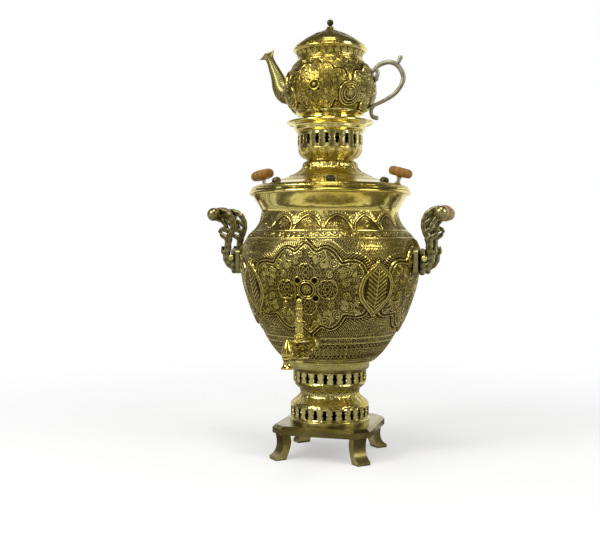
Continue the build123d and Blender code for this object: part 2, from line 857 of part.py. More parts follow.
with BuildPart() as tap_boss:
    with BuildSketch(Plane.YZ):
        with BuildLine():
            Polyline(
                (-base_r, tap_z + shank_r + fit_gap),
                (-base_r, tap_z + boss_ring_r),
                (-boss_ring_out, tap_z + boss_ring_r),
            )
            ThreePointArc(
                (-boss_ring_out, tap_z + boss_ring_r),
                (-boss_ring_out - boss_ring_swell[0], tap_z + boss_ring_r - boss_ring_swell[1]),
                (-boss_ring_neck_out, tap_z + boss_ring_neck_r),
            )
            Polyline(
                (-boss_ring_neck_out, tap_z + boss_ring_neck_r),
                (-boss_ring_neck_out, tap_z + shank_r + fit_gap),
                (-base_r, tap_z + shank_r + fit_gap),
            )
        make_face()
    revolve(axis=Axis((0, 0, tap_z), (0, 1, 0)))
    add(saddle_bed.part, mode=Mode.SUBTRACT)
keep(tap_boss, "tap_boss")

with BuildPart() as tap_shank:
    with BuildSketch(tap_plane.offset(shank_inner_end)):
        Circle(shank_r)
        Circle(tap_bore_r, mode=Mode.SUBTRACT)
    extrude(amount=barrel_out - barrel_r * 0.6 - shank_inner_end)
    with BuildSketch(Plane.XY.offset(barrel_low_z)):
        with Locations((0, -barrel_out)):
            Circle(barrel_r + fit_gap)
    extrude(amount=barrel_low + barrel_high, mode=Mode.SUBTRACT)
    for collar_out in (boss_ring_neck_out + shank_collar_in, barrel_out - barrel_r - shank_collar_in):
        with BuildSketch(tap_plane.offset(collar_out)):
            Circle(shank_r * 1.3)
            Circle(shank_r * 0.9, mode=Mode.SUBTRACT)
        extrude(amount=shank_r * 0.7)
keep(tap_shank, "tap_shank")

with BuildPart() as tap_gasket:
    with BuildSketch(tap_plane.offset(gasket_face)):
        Circle(gasket_r)
    extrude(amount=belly_r - gasket_face)
    add(solid_urn(-sheet - fit_gap), mode=Mode.INTERSECT)
    with BuildSketch(tap_plane):
        Circle(shank_r + fit_gap)
    extrude(amount=belly_r, mode=Mode.SUBTRACT)
keep(tap_gasket, "tap_gasket")

with BuildPart() as tap_nut:
    with BuildSketch(tap_plane.offset(gasket_face - nut_thick - fit_gap)):
        RegularPolygon(nut_flats / 2, 6, major_radius=False)
        Circle(shank_r + fit_gap, mode=Mode.SUBTRACT)
    extrude(amount=nut_thick)
keep(tap_nut, "tap_nut")

with BuildPart() as plug_space:
    with BuildSketch(upright_plane(barrel_low_z - plug_washer_thick)):
        Circle(plug_low_r + run_gap)
    with BuildSketch(upright_plane(barrel_top_z)):
        Circle(plug_top_r + run_gap)
    loft()

spout_turn_z = tap_z + spout_arm_rise
spout_mouth_z = spout_turn_z - spout_bulb_high
with BuildPart() as tap_spout:
    with BuildLine(Plane.YZ) as spout_path:
        Spline(
            (-barrel_out - barrel_r * 0.7, tap_z),
            ((-barrel_out - spout_out) / 2 - 4, tap_z + spout_arm_rise * 0.55),
            (-spout_out + 8, spout_turn_z),
            (-spout_out, spout_turn_z - spout_bend),
            tangents=((-1, 0), (0, -1)),
        )
        Line((-spout_out, spout_turn_z - spout_bend), (-spout_out, spout_mouth_z))
    with BuildSketch(Plane.XZ.offset(barrel_out + barrel_r * 0.7)):
        with Locations((0, tap_z)):
            Circle(spout_arm_r)
    sweep(path=spout_path.line)
    with BuildSketch(Plane.YZ):
        with BuildLine():
            Polyline(
                (-spout_out, spout_turn_z + spout_cap_high),
                (-spout_out + 1.2, spout_turn_z + spout_cap_high - 1),
            )
            Spline(
                (-spout_out + 1.2, spout_turn_z + spout_cap_high - 1),
                (-spout_out + spout_bulb_r * 0.75, spout_turn_z - 1),
                (-spout_out + spout_bulb_r, spout_turn_z - spout_bend - 1),
                (-spout_out + nozzle_throat_r, spout_mouth_z),
            )
            Polyline(
                (-spout_out + nozzle_throat_r, spout_mouth_z),
                (-spout_out, spout_mouth_z),
                (-spout_out, spout_turn_z + spout_cap_high),
            )
        make_face()
    revolve(axis=Axis((0, -spout_out, 0), (0, 0, 1)))
    with BuildSketch(upright_plane(barrel_low_z)):
        Circle(barrel_r + fit_gap)
    extrude(amount=barrel_low + barrel_high, mode=Mode.SUBTRACT)
    with BuildSketch(Plane.XZ.offset(barrel_out + barrel_r * 0.7)):
        with Locations((0, tap_z)):
            Circle(tap_bore_r)
    sweep(path=spout_path.line, mode=Mode.SUBTRACT)
keep(tap_spout, "tap_spout")

with BuildPart() as tap_nozzle:
    with BuildSketch(Plane.YZ):
        with BuildLine():
            Polyline(
                (-spout_out + tap_bore_r, spout_mouth_z - fit_gap),
                (-spout_out + nozzle_throat_r, spout_mouth_z - fit_gap),
            )
            Spline(
                (-spout_out + nozzle_throat_r, spout_mouth_z - fit_gap),
                (-spout_out + nozzle_throat_r * 0.95, spout_mouth_z - nozzle_high * 0.4),
                (-spout_out + nozzle_lip_r, spout_mouth_z - nozzle_high + 2),
            )
            Polyline(
                (-spout_out + nozzle_lip_r, spout_mouth_z - nozzle_high + 2),
                (-spout_out + nozzle_lip_r, spout_mouth_z - nozzle_high),
                (-spout_out + tap_bore_r, spout_mouth_z - nozzle_high),
                (-spout_out + tap_bore_r, spout_mouth_z - fit_gap),
            )
        make_face()
    revolve(axis=Axis((0, -spout_out, 0), (0, 0, 1)))
keep(tap_nozzle, "tap_nozzle")

with BuildPart() as tap_barrel:
    with BuildSketch(upright_plane(barrel_low_z)):
        Circle(barrel_r)
    extrude(amount=barrel_low + barrel_high)
    for bead_z in (barrel_low_z, barrel_top_z - 2 * barrel_bead_r):
        with BuildSketch(upright_plane(bead_z)):
            Circle(barrel_r + barrel_bead_r)
        extrude(amount=2 * barrel_bead_r)
    fillet(tap_barrel.edges().filter_by(GeomType.CIRCLE).sort_by(SortBy.RADIUS)[-4:], barrel_bead_r * 0.6)
    add(plug_space.part, mode=Mode.SUBTRACT)
    with BuildSketch(Plane.XZ.offset(barrel_out - barrel_r - barrel_bead_r)):
        with Locations((0, tap_z)):
            Circle(tap_bore_r)
    extrude(amount=2 * (barrel_r + barrel_bead_r), mode=Mode.SUBTRACT)
keep(tap_barrel, "tap_barrel")

with BuildPart() as tap_plug:
    with BuildSketch(upright_plane(barrel_low_z - plug_washer_thick)):
        Circle(plug_low_r)
    with BuildSketch(upright_plane(barrel_top_z)):
        Circle(plug_top_r)
    loft()
    with BuildSketch(upright_plane(barrel_low_z - plug_washer_thick)):
        Circle(2 * plug_low_r)
    extrude(amount=plug_washer_thick + fit_gap, mode=Mode.SUBTRACT)
    with BuildSketch(upright_plane(barrel_top_z)):
        Rectangle(2 * key_tenon_half, 2 * key_tenon_half)
    extrude(amount=key_tenon_high)
    with BuildSketch(upright_plane(barrel_low_z - plug_washer_thick - plug_nut_thick - plug_screw_tail)):
        Circle(plug_screw_r)
    extrude(amount=barrel_low / 2)
    with BuildSketch(Plane.YZ):
        with Locations((-barrel_out, tap_z)):
            Circle(tap_bore_r)
    extrude(amount=2 * plug_top_r, both=True, mode=Mode.SUBTRACT)
keep(tap_plug, "tap_plug")

with BuildPart() as tap_plug_washer:
    with BuildSketch(upright_plane(barrel_low_z - plug_washer_thick - run_gap)):
        Circle(plug_washer_r)
        Circle(plug_screw_r + fit_gap, mode=Mode.SUBTRACT)
    extrude(amount=plug_washer_thick)
keep(tap_plug_washer, "tap_plug_washer")

with BuildPart() as tap_plug_nut:
    with BuildSketch(upright_plane(barrel_low_z - plug_washer_thick - plug_nut_thick - 2 * run_gap)):
        RegularPolygon(plug_nut_r, 6)
        Circle(plug_screw_r + fit_gap, mode=Mode.SUBTRACT)
    extrude(amount=plug_nut_thick)
keep(tap_plug_nut, "tap_plug_nut")

key_z = barrel_top_z + lift_gap
with BuildPart() as tap_key:
    with BuildSketch(upright_plane(key_z)):
        Circle(key_r)
    extrude(amount=key_high)
    for ring_height, ring_r in zip(key_ring_heights, key_ring_rs):
        with BuildSketch(upright_plane(key_z + ring_height - key_ring_thick / 2)):
            Circle(ring_r)
        extrude(amount=key_ring_thick)
    with BuildSketch(upright_plane(key_z)):
        Circle(key_ring_rs[0])
    extrude(amount=key_ring_thick / 2)
    with Locations((0, -barrel_out, key_z + key_high + key_ball_r * 0.7)):
        Sphere(key_ball_r)
    with BuildSketch(upright_plane(key_z)):
        Rectangle(2 * (key_tenon_half + fit_gap), 2 * (key_tenon_half + fit_gap))
    extrude(amount=key_tenon_high, mode=Mode.SUBTRACT)
keep(tap_key, "tap_key")


# ==== lid: a ring cover over the body's mouth, with a skirt and a neck round the fire tube
lid_shoulder_z = lid_z + lid_shoulder_rise
lid_edge_r = rim_r - lid_edge_inset
slope_tan = tan(radians(lid_slope))
slope_up = (sin(radians(lid_slope)), cos(radians(lid_slope)))  # out from the cone: outwards, upwards
cone_in_z = lid_shoulder_z + (lid_shoulder_r - lid_cone_in_r) * slope_tan
throat_z = lid_z + lid_throat_high
collar_seam_z = throat_z + lid_seam_rise
skirt_r = neck_r - sheet - lift_gap
under_lid = -sheet - fit_gap  # depth along the cone's normal where the nuts bear


def cone_z(out):
    """Height of the lid's cone at a distance from the axis."""
    return lid_shoulder_z + (lid_shoulder_r - out) * slope_tan


def cone_plane(angle, out, above):
    """A plane on the lid's cone at an angle about the axis; its own z axis stands off the cone."""
    facing = Vector(cos(radians(angle)), sin(radians(angle)), 0)
    normal = facing * slope_up[0] + Vector(0, 0, slope_up[1])
    foot = facing * out + Vector(0, 0, cone_z(out))
    return Plane(foot + normal * above, x_dir=Vector(-facing.Y, facing.X, 0), z_dir=normal)


knob_angles = {"left": 180, "right": 0}
vent_angles = [vent_first_angle + 360 / vent_count * n for n in range(vent_count)]

with BuildPart() as lid_sheet:
    with BuildSketch(Plane.XZ):
        with BuildLine():
            edge = Bezier(
                (lid_edge_r, lid_z + lid_edge_thick),
                (lid_edge_r - lid_edge_bend, lid_z + lid_edge_thick + lid_edge_bend),
                (lid_shoulder_r + lid_edge_bend, lid_shoulder_z - lid_edge_bend * slope_tan),
                (lid_shoulder_r, lid_shoulder_z),
            )
            cone = Line((lid_shoulder_r, lid_shoulder_z), (lid_cone_in_r, cone_in_z))
            sweep_up = Bezier(
                (lid_cone_in_r, cone_in_z),
                (lid_cone_in_r - lid_sweep_out, cone_in_z + lid_sweep_out * slope_tan),
                (lid_throat_r, throat_z - lid_throat_bend),
                (lid_throat_r, throat_z),
            )
            neck = Bezier(
                (lid_throat_r, throat_z),
                (lid_throat_r, throat_z + lid_neck_bend),
                (lid_neck_r, lid_top_z - lid_neck_bend),
                (lid_neck_r, lid_top_z),
            )
            spun_section([edge, cone, sweep_up, neck], sheet)
        make_face()
        # flat edge that rests on the rim, and the collar that closes round the fire tube
        with BuildLine():
            Polyline(
                (lid_edge_r - lid_flat_wide, lid_z),
                (lid_edge_r, lid_z),
                (lid_edge_r, lid_z + lid_edge_thick),
                (lid_edge_r - lid_edge_thick, lid_z + lid_edge_thick),
                (lid_edge_r - lid_flat_wide, lid_z + 2 * lid_edge_thick),
                close=True,
            )
        make_face()
        with BuildLine():
            Polyline(
                (tube_r + lift_gap, lid_top_z - sheet),
                (lid_neck_r - sheet / 2, lid_top_z - sheet),
                (lid_neck_r - sheet / 2, lid_top_z),
                (tube_r + lift_gap, lid_top_z),
                close=True,
            )
        make_face()
        # skirt inside the body's neck
        with BuildLine():
            Polyline(
                (skirt_r, neck_z - lid_skirt_below_neck),
                (skirt_r, cone_z(skirt_r) - sheet * 0.7),
                (skirt_r - sheet, cone_z(skirt_r) - sheet * 0.7),
                (skirt_r - sheet, neck_z - lid_skirt_below_neck),
                close=True,
            )
        make_face()
    revolve(axis=Axis.Z)

# the cover is pieced from a skirt, the cover itself and a collar, soldered together
with BuildPart() as lid_skirt:
    add(lid_sheet.part)
    split(bisect_by=Plane.XY.offset(rim_z), keep=Keep.BOTTOM)
keep(lid_skirt, "lid_skirt")

with BuildPart() as lid:
    add(lid_sheet.part)
    with BuildSketch(Plane.XY.offset(rim_z)):
        Circle(rim_r)
    extrude(amount=collar_seam_z - rim_z, mode=Mode.INTERSECT)
    # vent holes, knob holes and the notches round the knob nuts
    with BuildSketch(*[cone_plane(angle, vent_ring_r, -2 * sheet) for angle in vent_angles]):
        Circle(vent_bore_r)
    extrude(amount=3 * sheet, mode=Mode.SUBTRACT)
    with BuildSketch(*[cone_plane(angle, knob_ring_r, -2 * sheet) for angle in knob_angles.values()]):
        Circle(knob_spigot_r + fit_gap)
    extrude(amount=3 * sheet, mode=Mode.SUBTRACT)
    with BuildSketch(*[cone_plane(angle, knob_ring_r, -sheet) for angle in knob_angles.values()]):
        Circle(knob_nut_r + lift_gap)
    extrude(amount=-2 * knob_nut_high, mode=Mode.SUBTRACT)
keep(lid, "lid")

with BuildPart() as lid_collar:
    add(lid_sheet.part)
    split(bisect_by=Plane.XY.offset(collar_seam_z), keep=Keep.TOP)
keep(lid_collar, "lid_collar")

knob_seat = fit_gap + knob_stem_high  # height above the cone where the wooden disc starts
for side, angle in knob_angles.items():
    with BuildPart() as knob_stem:
        with BuildSketch(cone_plane(angle, knob_ring_r, fit_gap)):
            Circle(knob_collar_r)
        extrude(amount=knob_collar_high)
        with BuildSketch(cone_plane(angle, knob_ring_r, fit_gap)):
            Circle(knob_stem_r)
        extrude(amount=knob_stem_high)
        with BuildSketch(cone_plane(angle, knob_ring_r, knob_seat - knob_collar_high)):
            Circle(knob_stem_r)
        with BuildSketch(cone_plane(angle, knob_ring_r, knob_seat)):
            Circle(knob_collar_r)
        loft()
        with BuildSketch(cone_plane(angle, knob_ring_r, under_lid - knob_nut_high - knob_collar_high)):
            Circle(knob_spigot_r)
        extrude(amount=knob_seat + knob_spigot_into_disc - under_lid + knob_nut_high + knob_collar_high)
    keep(knob_stem, f"lid_knob_stem_{side}")

    with BuildPart() as knob:
        with BuildSketch(cone_plane(angle, knob_ring_r, knob_seat + fit_gap)):
            Circle(knob_disc_r)
        extrude(amount=knob_disc_high)
        fillet(knob.edges().filter_by(GeomType.CIRCLE), knob_disc_high * 0.47)
        with BuildSketch(cone_plane(angle, knob_ring_r, knob_seat)):
            Circle(knob_spigot_r + fit_gap)
        extrude(amount=knob_spigot_into_disc + fit_gap, mode=Mode.SUBTRACT)
    keep(knob, f"lid_knob_{side}")

with BuildPart() as knob_nuts:
    with BuildSketch(*[cone_plane(angle, knob_ring_r, under_lid) for angle in knob_angles.values()]):
        RegularPolygon(knob_nut_r, 6)
        Circle(knob_spigot_r + fit_gap, mode=Mode.SUBTRACT)
    extrude(amount=-knob_nut_high)
keep(knob_nuts, "lid_knob_nuts")

with BuildPart() as steam_vents:
    with BuildSketch(*[cone_plane(angle, vent_ring_r, fit_gap) for angle in vent_angles]):
        Circle(vent_dome_r)
    extrude(amount=vent_dome_high)
    dome_tops = [face for face in steam_vents.faces().filter_by(GeomType.PLANE) if face.normal_at().Z > 0]
    fillet([edge for face in dome_tops for edge in face.edges()], vent_dome_high * 0.9)
    with BuildSketch(*[cone_plane(angle, vent_ring_r, 0) for angle in vent_angles]):
        Circle(vent_bore_r)
    extrude(amount=vent_dome_high * 0.65, mode=Mode.SUBTRACT)
    side_hole_z = cone_z(vent_ring_r) + vent_dome_high * 0.45
    with BuildSketch(*[radial_plane(angle, vent_ring_r, side_hole_z) for angle in vent_angles]):
        Circle(vent_side_hole_r)
    extrude(amount=2 * vent_dome_r, mode=Mode.SUBTRACT)
keep(steam_vents, "steam_vents")


# ==== crown: cup round the top of the fire tube, pierced gallery, dish that carries the teapot
with BuildPart() as crown_cup:
    with BuildSketch(Plane.XZ):
        with BuildLine():
            cup = Bezier(
                (lid_neck_r, crown_z),
                (lid_neck_r + 6.0, crown_z + 0.6),
                (crown_r, crown_z + 5.0),
                (crown_r, crown_gallery_z),
            )
            spun_section([cup], sheet)
        make_face()
        with BuildLine():
            Polyline(
                (tube_r + lift_gap, crown_z),
                (lid_neck_r, crown_z),
                (lid_neck_r, crown_z + sheet * 0.9),
                (tube_r + lift_gap, crown_z + sheet * 0.9),
                close=True,
            )
        make_face()
    revolve(axis=Axis.Z)
keep(crown_cup, "crown_cup")

with BuildPart() as crown_gallery:
    with BuildSketch(Plane.XY.offset(crown_gallery_z)):
        Circle(crown_r)
        Circle(crown_r - casting, mode=Mode.SUBTRACT)
    extrude(amount=crown_gallery_high)
    add(
        slot_cutters(crown_slots, crown_r, crown_gallery_z + crown_gallery_high / 2),
        mode=Mode.SUBTRACT,
    )
keep(crown_gallery, "crown_gallery")

crown_step_z = crown_dish_z + crown_step_high
crown_bead_out = crown_rim_r - crown_bead_r
with BuildPart() as crown_dish:
    with BuildSketch(Plane.XZ):
        # step
        with BuildLine():
            Polyline((crown_r - casting, crown_dish_z), (crown_r, crown_dish_z))
            ThreePointArc(
                (crown_r, crown_dish_z),
                (crown_step_r - 1.0, crown_dish_z + crown_step_high * 0.3),
                (crown_step_r, crown_step_z - 1.0),
            )
            Polyline(
                (crown_step_r, crown_step_z - 1.0),
                (crown_step_r, crown_step_z),
                (crown_step_r - sheet, crown_step_z),
                (crown_r - casting, crown_dish_z + casting),
                (crown_r - casting, crown_dish_z),
            )
        make_face()
        # flare up to the rim
        with BuildLine():
            flare = Bezier(
                (crown_step_r, crown_step_z),
                (crown_step_r, crown_step_z + 4.5),
                (crown_bead_out - 5.0, crown_top_z - crown_bead_r),
                (crown_bead_out, crown_top_z - crown_bead_r),
            )
            spun_section([flare], sheet)
        make_face()
        with Locations((crown_bead_out, crown_top_z - crown_bead_r)):
            Circle(crown_bead_r)
        # plate that the teapot stands on
        with BuildLine():
            Polyline(
                (crown_seat_r, crown_top_z - sheet),
                (crown_bead_out, crown_top_z - sheet),
                (crown_bead_out, crown_top_z),
                (crown_seat_r, crown_top_z),
                close=True,
            )
        make_face()
    revolve(axis=Axis.Z)
keep(crown_dish, "crown_dish")


# ==== teapot
def pot_outline(mode=Mode.ADD):
    """The pot's outer line, from its floor to its rim."""
    lower = Bezier(
        (pot_foot_r - 0.5, pot_z),
        (pot_foot_r + 2.4, pot_z + 4.3),
        (pot_belly_r, pot_belly_z - pot_belly_rise * 0.61),
        (pot_belly_r, pot_belly_z),
        mode=mode,
    )
    shoulder = Bezier(
        (pot_belly_r, pot_belly_z),
        (pot_belly_r, pot_belly_z + pot_neck_rise * 0.69),
        (pot_neck_r, pot_neck_z - pot_neck_rise * 0.2),
        (pot_neck_r, pot_neck_z),
        mode=mode,
    )
    flare = Bezier(
        (pot_neck_r, pot_neck_z),
        (pot_neck_r, pot_neck_z + pot_rim_rise * 0.35),
        (pot_neck_r + (pot_rim_r - pot_neck_r) * 0.45, pot_neck_z + pot_rim_rise * 0.6),
        (pot_rim_r - pot_bead_r, pot_rim_z - pot_bead_r),
        mode=mode,
    )
    return lower, shoulder, flare


with BuildPart() as teapot_foot:
    with BuildSketch(Plane.XZ):
        with BuildLine():
            Polyline(
                (pot_foot_bore_r, pot_foot_z),
                (pot_foot_r, pot_foot_z),
                (pot_foot_r, pot_foot_z + 1.5),
            )
            ThreePointArc(
                (pot_foot_r, pot_foot_z + 1.5),
                (pot_foot_waist_r, pot_foot_z + pot_foot_high / 2),
                (pot_foot_r, pot_z - fit_gap),
            )
            Polyline(
                (pot_foot_r, pot_z - fit_gap),
                (pot_foot_bore_r, pot_z - fit_gap),
                (pot_foot_bore_r, pot_foot_z),
            )
        make_face()
    revolve(axis=Axis.Z)
keep(teapot_foot, "teapot_foot")

with BuildPart() as pot_envelope:
    with BuildSketch(Plane.XZ):
        with BuildLine():
            pot_skin = [shifted(curve, -fit_gap) for curve in pot_outline(Mode.PRIVATE)]
            skin_low, skin_top = pot_skin[0] @ 0, pot_skin[-1] @ 1
            Polyline(skin_top, (0, skin_top.Y), (0, skin_low.Y), skin_low)
        make_face()
    revolve(axis=Axis.Z)

with BuildPart() as teapot_body:
    with BuildSketch(Plane.XZ):
        with BuildLine():
            spun_section(pot_outline(), pot_wall)
        make_face()
        with Locations((pot_rim_r - pot_bead_r, pot_rim_z - pot_bead_r)):
            Circle(pot_bead_r)
        with BuildLine():
            Polyline(
                (0, pot_z),
                (pot_foot_r - 0.5, pot_z),
                (pot_foot_r - 0.5, pot_z + pot_wall),
                (0, pot_z + pot_wall),
                close=True,
            )
        make_face()
    revolve(axis=Axis.Z)
    with BuildSketch(radial_plane(180, pot_neck_r, spout_root_z)):
        Circle(pot_strainer_hole_r)
        with PolarLocations(pot_strainer_ring_r, 6):
            Circle(pot_strainer_hole_r)
    extrude(amount=pot_belly_r - pot_neck_r + 1, mode=Mode.SUBTRACT)
keep(teapot_body, "teapot_body")

with BuildPart() as teapot_spout:
    for thinner, mode in ((0, Mode.ADD), (spout_wall, Mode.SUBTRACT)):
        for out, height, (ahead, up), section_r in spout_course:
            with BuildSketch(Plane((-out, 0, height), x_dir=(0, 1, 0), z_dir=(-ahead, 0, up))):
                Circle(section_r - thinner)
        loft(mode=mode)
    add(pot_envelope.part, mode=Mode.SUBTRACT)
keep(teapot_spout, "teapot_spout")


def bent_bar(points, bar_r, end_ball_r):
    """A round bar bent through points of the XZ plane, with a ball on its far end."""
    with BuildPart() as bar:
        with BuildLine(Plane.XZ) as course:
            Spline(*points)
        with BuildSketch(Plane(course.line @ 0, z_dir=course.line % 0)):
            Circle(bar_r)
        sweep(path=course.line)
        with Locations(course.line @ 1):
            Sphere(end_ball_r)
    return bar.part


strap_low_z = strap_course[-2][1]
top_curl = [(66.0, strap_top_z + 8.0), (69.5, strap_top_z + 1.0), (66.8, strap_top_z - 9.0)]
tail_curl = [
    (65.0, strap_low_z + 4.5),
    (60.0, strap_low_z - 2.0),
    (60.3, strap_low_z - 10.0),
    (66.5, strap_low_z - 12.0),
]
thumb_curl = [(94.0, strap_top_z + 12.5), (98.5, strap_top_z + 14.5), (101.0, strap_top_z + 21.0)]
with BuildPart() as teapot_handle:
    add(bent_bar(strap_course, strap_r, strap_r))
    for curl in (top_curl, tail_curl, thumb_curl):
        add(bent_bar(curl, strap_r * 0.8, strap_curl_r))
    add(pot_envelope.part, mode=Mode.SUBTRACT)
keep(teapot_handle, "teapot_handle")

pot_lid_edge_r = pot_rim_r - pot_lid_edge_inset
pot_skirt_r = pot_neck_r - pot_wall - lift_gap
pot_lid_low_z = pot_lid_z + pot_wall
with BuildPart() as teapot_lid:
    with BuildSketch(Plane.XZ):
        with BuildLine():
            dome = Bezier(
                (pot_lid_edge_r, pot_lid_low_z),
                (pot_lid_edge_r * 0.79, pot_lid_low_z + pot_lid_high * 0.3),
                (pot_lid_edge_r * 0.5, pot_lid_low_z + pot_lid_high * 0.58),
                (14.0, pot_lid_top_z - 7.5),
            )
            crest = Bezier(
                (14.0, pot_lid_top_z - 7.5),
                (14.0 - 4.0 * (dome % 1).X / -1, pot_lid_top_z - 7.5 + 4.0 * (dome % 1).Y),
                (pot_lid_top_r, pot_lid_top_z - 3.0),
                (pot_lid_top_r, pot_lid_top_z),
            )
            spun_section([dome, crest], pot_wall)
            skirt_top_z = (dome @ 0.22).Y - pot_wall / 2
        make_face()
        with BuildLine():
            Polyline(
                (pot_lid_edge_r - 4.0, pot_lid_z),
                (pot_lid_edge_r, pot_lid_z),
                (pot_lid_edge_r, pot_lid_low_z),
                (pot_lid_edge_r - 4.0, pot_lid_low_z + 1.0),
                close=True,
            )
        make_face()
        with BuildLine():
            Polyline(
                (finial_neck_r + fit_gap, pot_lid_top_z - pot_wall),
                (pot_lid_top_r, pot_lid_top_z - pot_wall),
                (pot_lid_top_r, pot_lid_top_z),
                (finial_neck_r + fit_gap, pot_lid_top_z),
                close=True,
            )
        make_face()
        with BuildLine():
            Polyline(
                (pot_skirt_r, pot_lid_z - pot_lid_skirt_high),
                (pot_skirt_r, skirt_top_z),
                (pot_skirt_r - pot_wall, skirt_top_z),
                (pot_skirt_r - pot_wall, pot_lid_z - pot_lid_skirt_high),
                close=True,
            )
        make_face()
    revolve(axis=Axis.Z)
keep(teapot_lid, "teapot_lid")

finial_z = pot_lid_top_z + fit_gap
finial_ball_z = finial_z + finial_neck_high + finial_ball_r * 0.92
with BuildPart() as teapot_lid_finial:
    with BuildSketch(Plane.XY.offset(pot_lid_top_z - finial_tail)):
        Circle(finial_neck_r)
    extrude(amount=finial_tail + finial_neck_high + finial_ball_r / 2)
    with BuildSketch(Plane.XY.offset(finial_z)):
        Circle(finial_neck_r * 1.7)
    extrude(amount=finial_neck_high / 2)
    with Locations((0, 0, finial_ball_z)):
        Sphere(finial_ball_r)
keep(teapot_lid_finial, "teapot_lid_finial")
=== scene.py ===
# %% [markdown]
# # A charcoal samovar in embossed brass
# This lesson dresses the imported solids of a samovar. A coppersmith spins its shells from sheet,
# presses and chases the ornament into them, lets the low places go dark, and polishes what
# stands proud. The scene follows the same order.

# %% Load the solids
from math import cos, pi, radians, sin

import bpy
import bmesh
import numpy as np
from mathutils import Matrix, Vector


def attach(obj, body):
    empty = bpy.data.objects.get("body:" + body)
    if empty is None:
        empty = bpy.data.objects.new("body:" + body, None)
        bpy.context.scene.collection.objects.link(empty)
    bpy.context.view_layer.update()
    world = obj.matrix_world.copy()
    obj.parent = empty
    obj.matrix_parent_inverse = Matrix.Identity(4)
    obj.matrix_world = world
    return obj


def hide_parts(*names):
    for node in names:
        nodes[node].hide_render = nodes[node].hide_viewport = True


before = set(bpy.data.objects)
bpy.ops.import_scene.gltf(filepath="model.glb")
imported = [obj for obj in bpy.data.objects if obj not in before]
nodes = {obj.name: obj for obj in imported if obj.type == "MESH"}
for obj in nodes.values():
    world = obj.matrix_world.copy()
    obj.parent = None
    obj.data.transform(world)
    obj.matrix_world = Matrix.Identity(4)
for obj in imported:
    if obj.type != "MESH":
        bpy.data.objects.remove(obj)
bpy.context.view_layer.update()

print(len(nodes), "solids loaded")

# %% [markdown]
# ## Maths on a die
# All the ornament of this samovar comes from a few punches and dies. A die here is a small flat
# map, in metres, that says how far each place stands up, how dark the patina lies there, with
# painted shade in the corners and painted shadow outside raised edges, and how strongly the fine
# hatching was cut. The map is worked out once with numpy, and then sampled
# wherever the smith would strike it. That keeps one drawing for the urn and for the teapot.

# %% Soft steps, ridges and splines
def step_up(x, low, high):
    """0 below low, 1 above high, smooth between them."""
    t = np.clip((x - low) / (high - low), 0, 1)
    return t * t * (3 - 2 * t)


def ridge(distance, width):
    """A rounded bar, 1 along its middle line and 0 from half its width outwards."""
    t = np.clip(np.abs(distance) / (width / 2), 0, 1)
    return (1 - t * t) ** 1.5


def cubic(corners, count):
    """Points along the Bezier curve through four corners."""
    t = np.linspace(0, 1, count)[:, None]
    a, b, c, d = (np.array(corner, float) for corner in corners)
    return a * (1 - t) ** 3 + 3 * b * t * (1 - t) ** 2 + 3 * c * t * t * (1 - t) + d * t**3


def bow(a, b, c, count=9):
    """Points on the curve that starts at a, passes b half way and ends at c."""
    a, b, c = (np.array(corner, float) for corner in (a, b, c))
    pull = 2 * b - (a + c) / 2
    t = np.linspace(0, 1, count)[:, None]
    return a * (1 - t) ** 2 + 2 * pull * t * (1 - t) + c * t * t


print("a ridge is", ridge(0.0, 1.0), "high along its middle and", ridge(0.5, 1.0), "at its edge")

# %% The die itself
mm = 0.001
die_pitch = 0.35 * mm


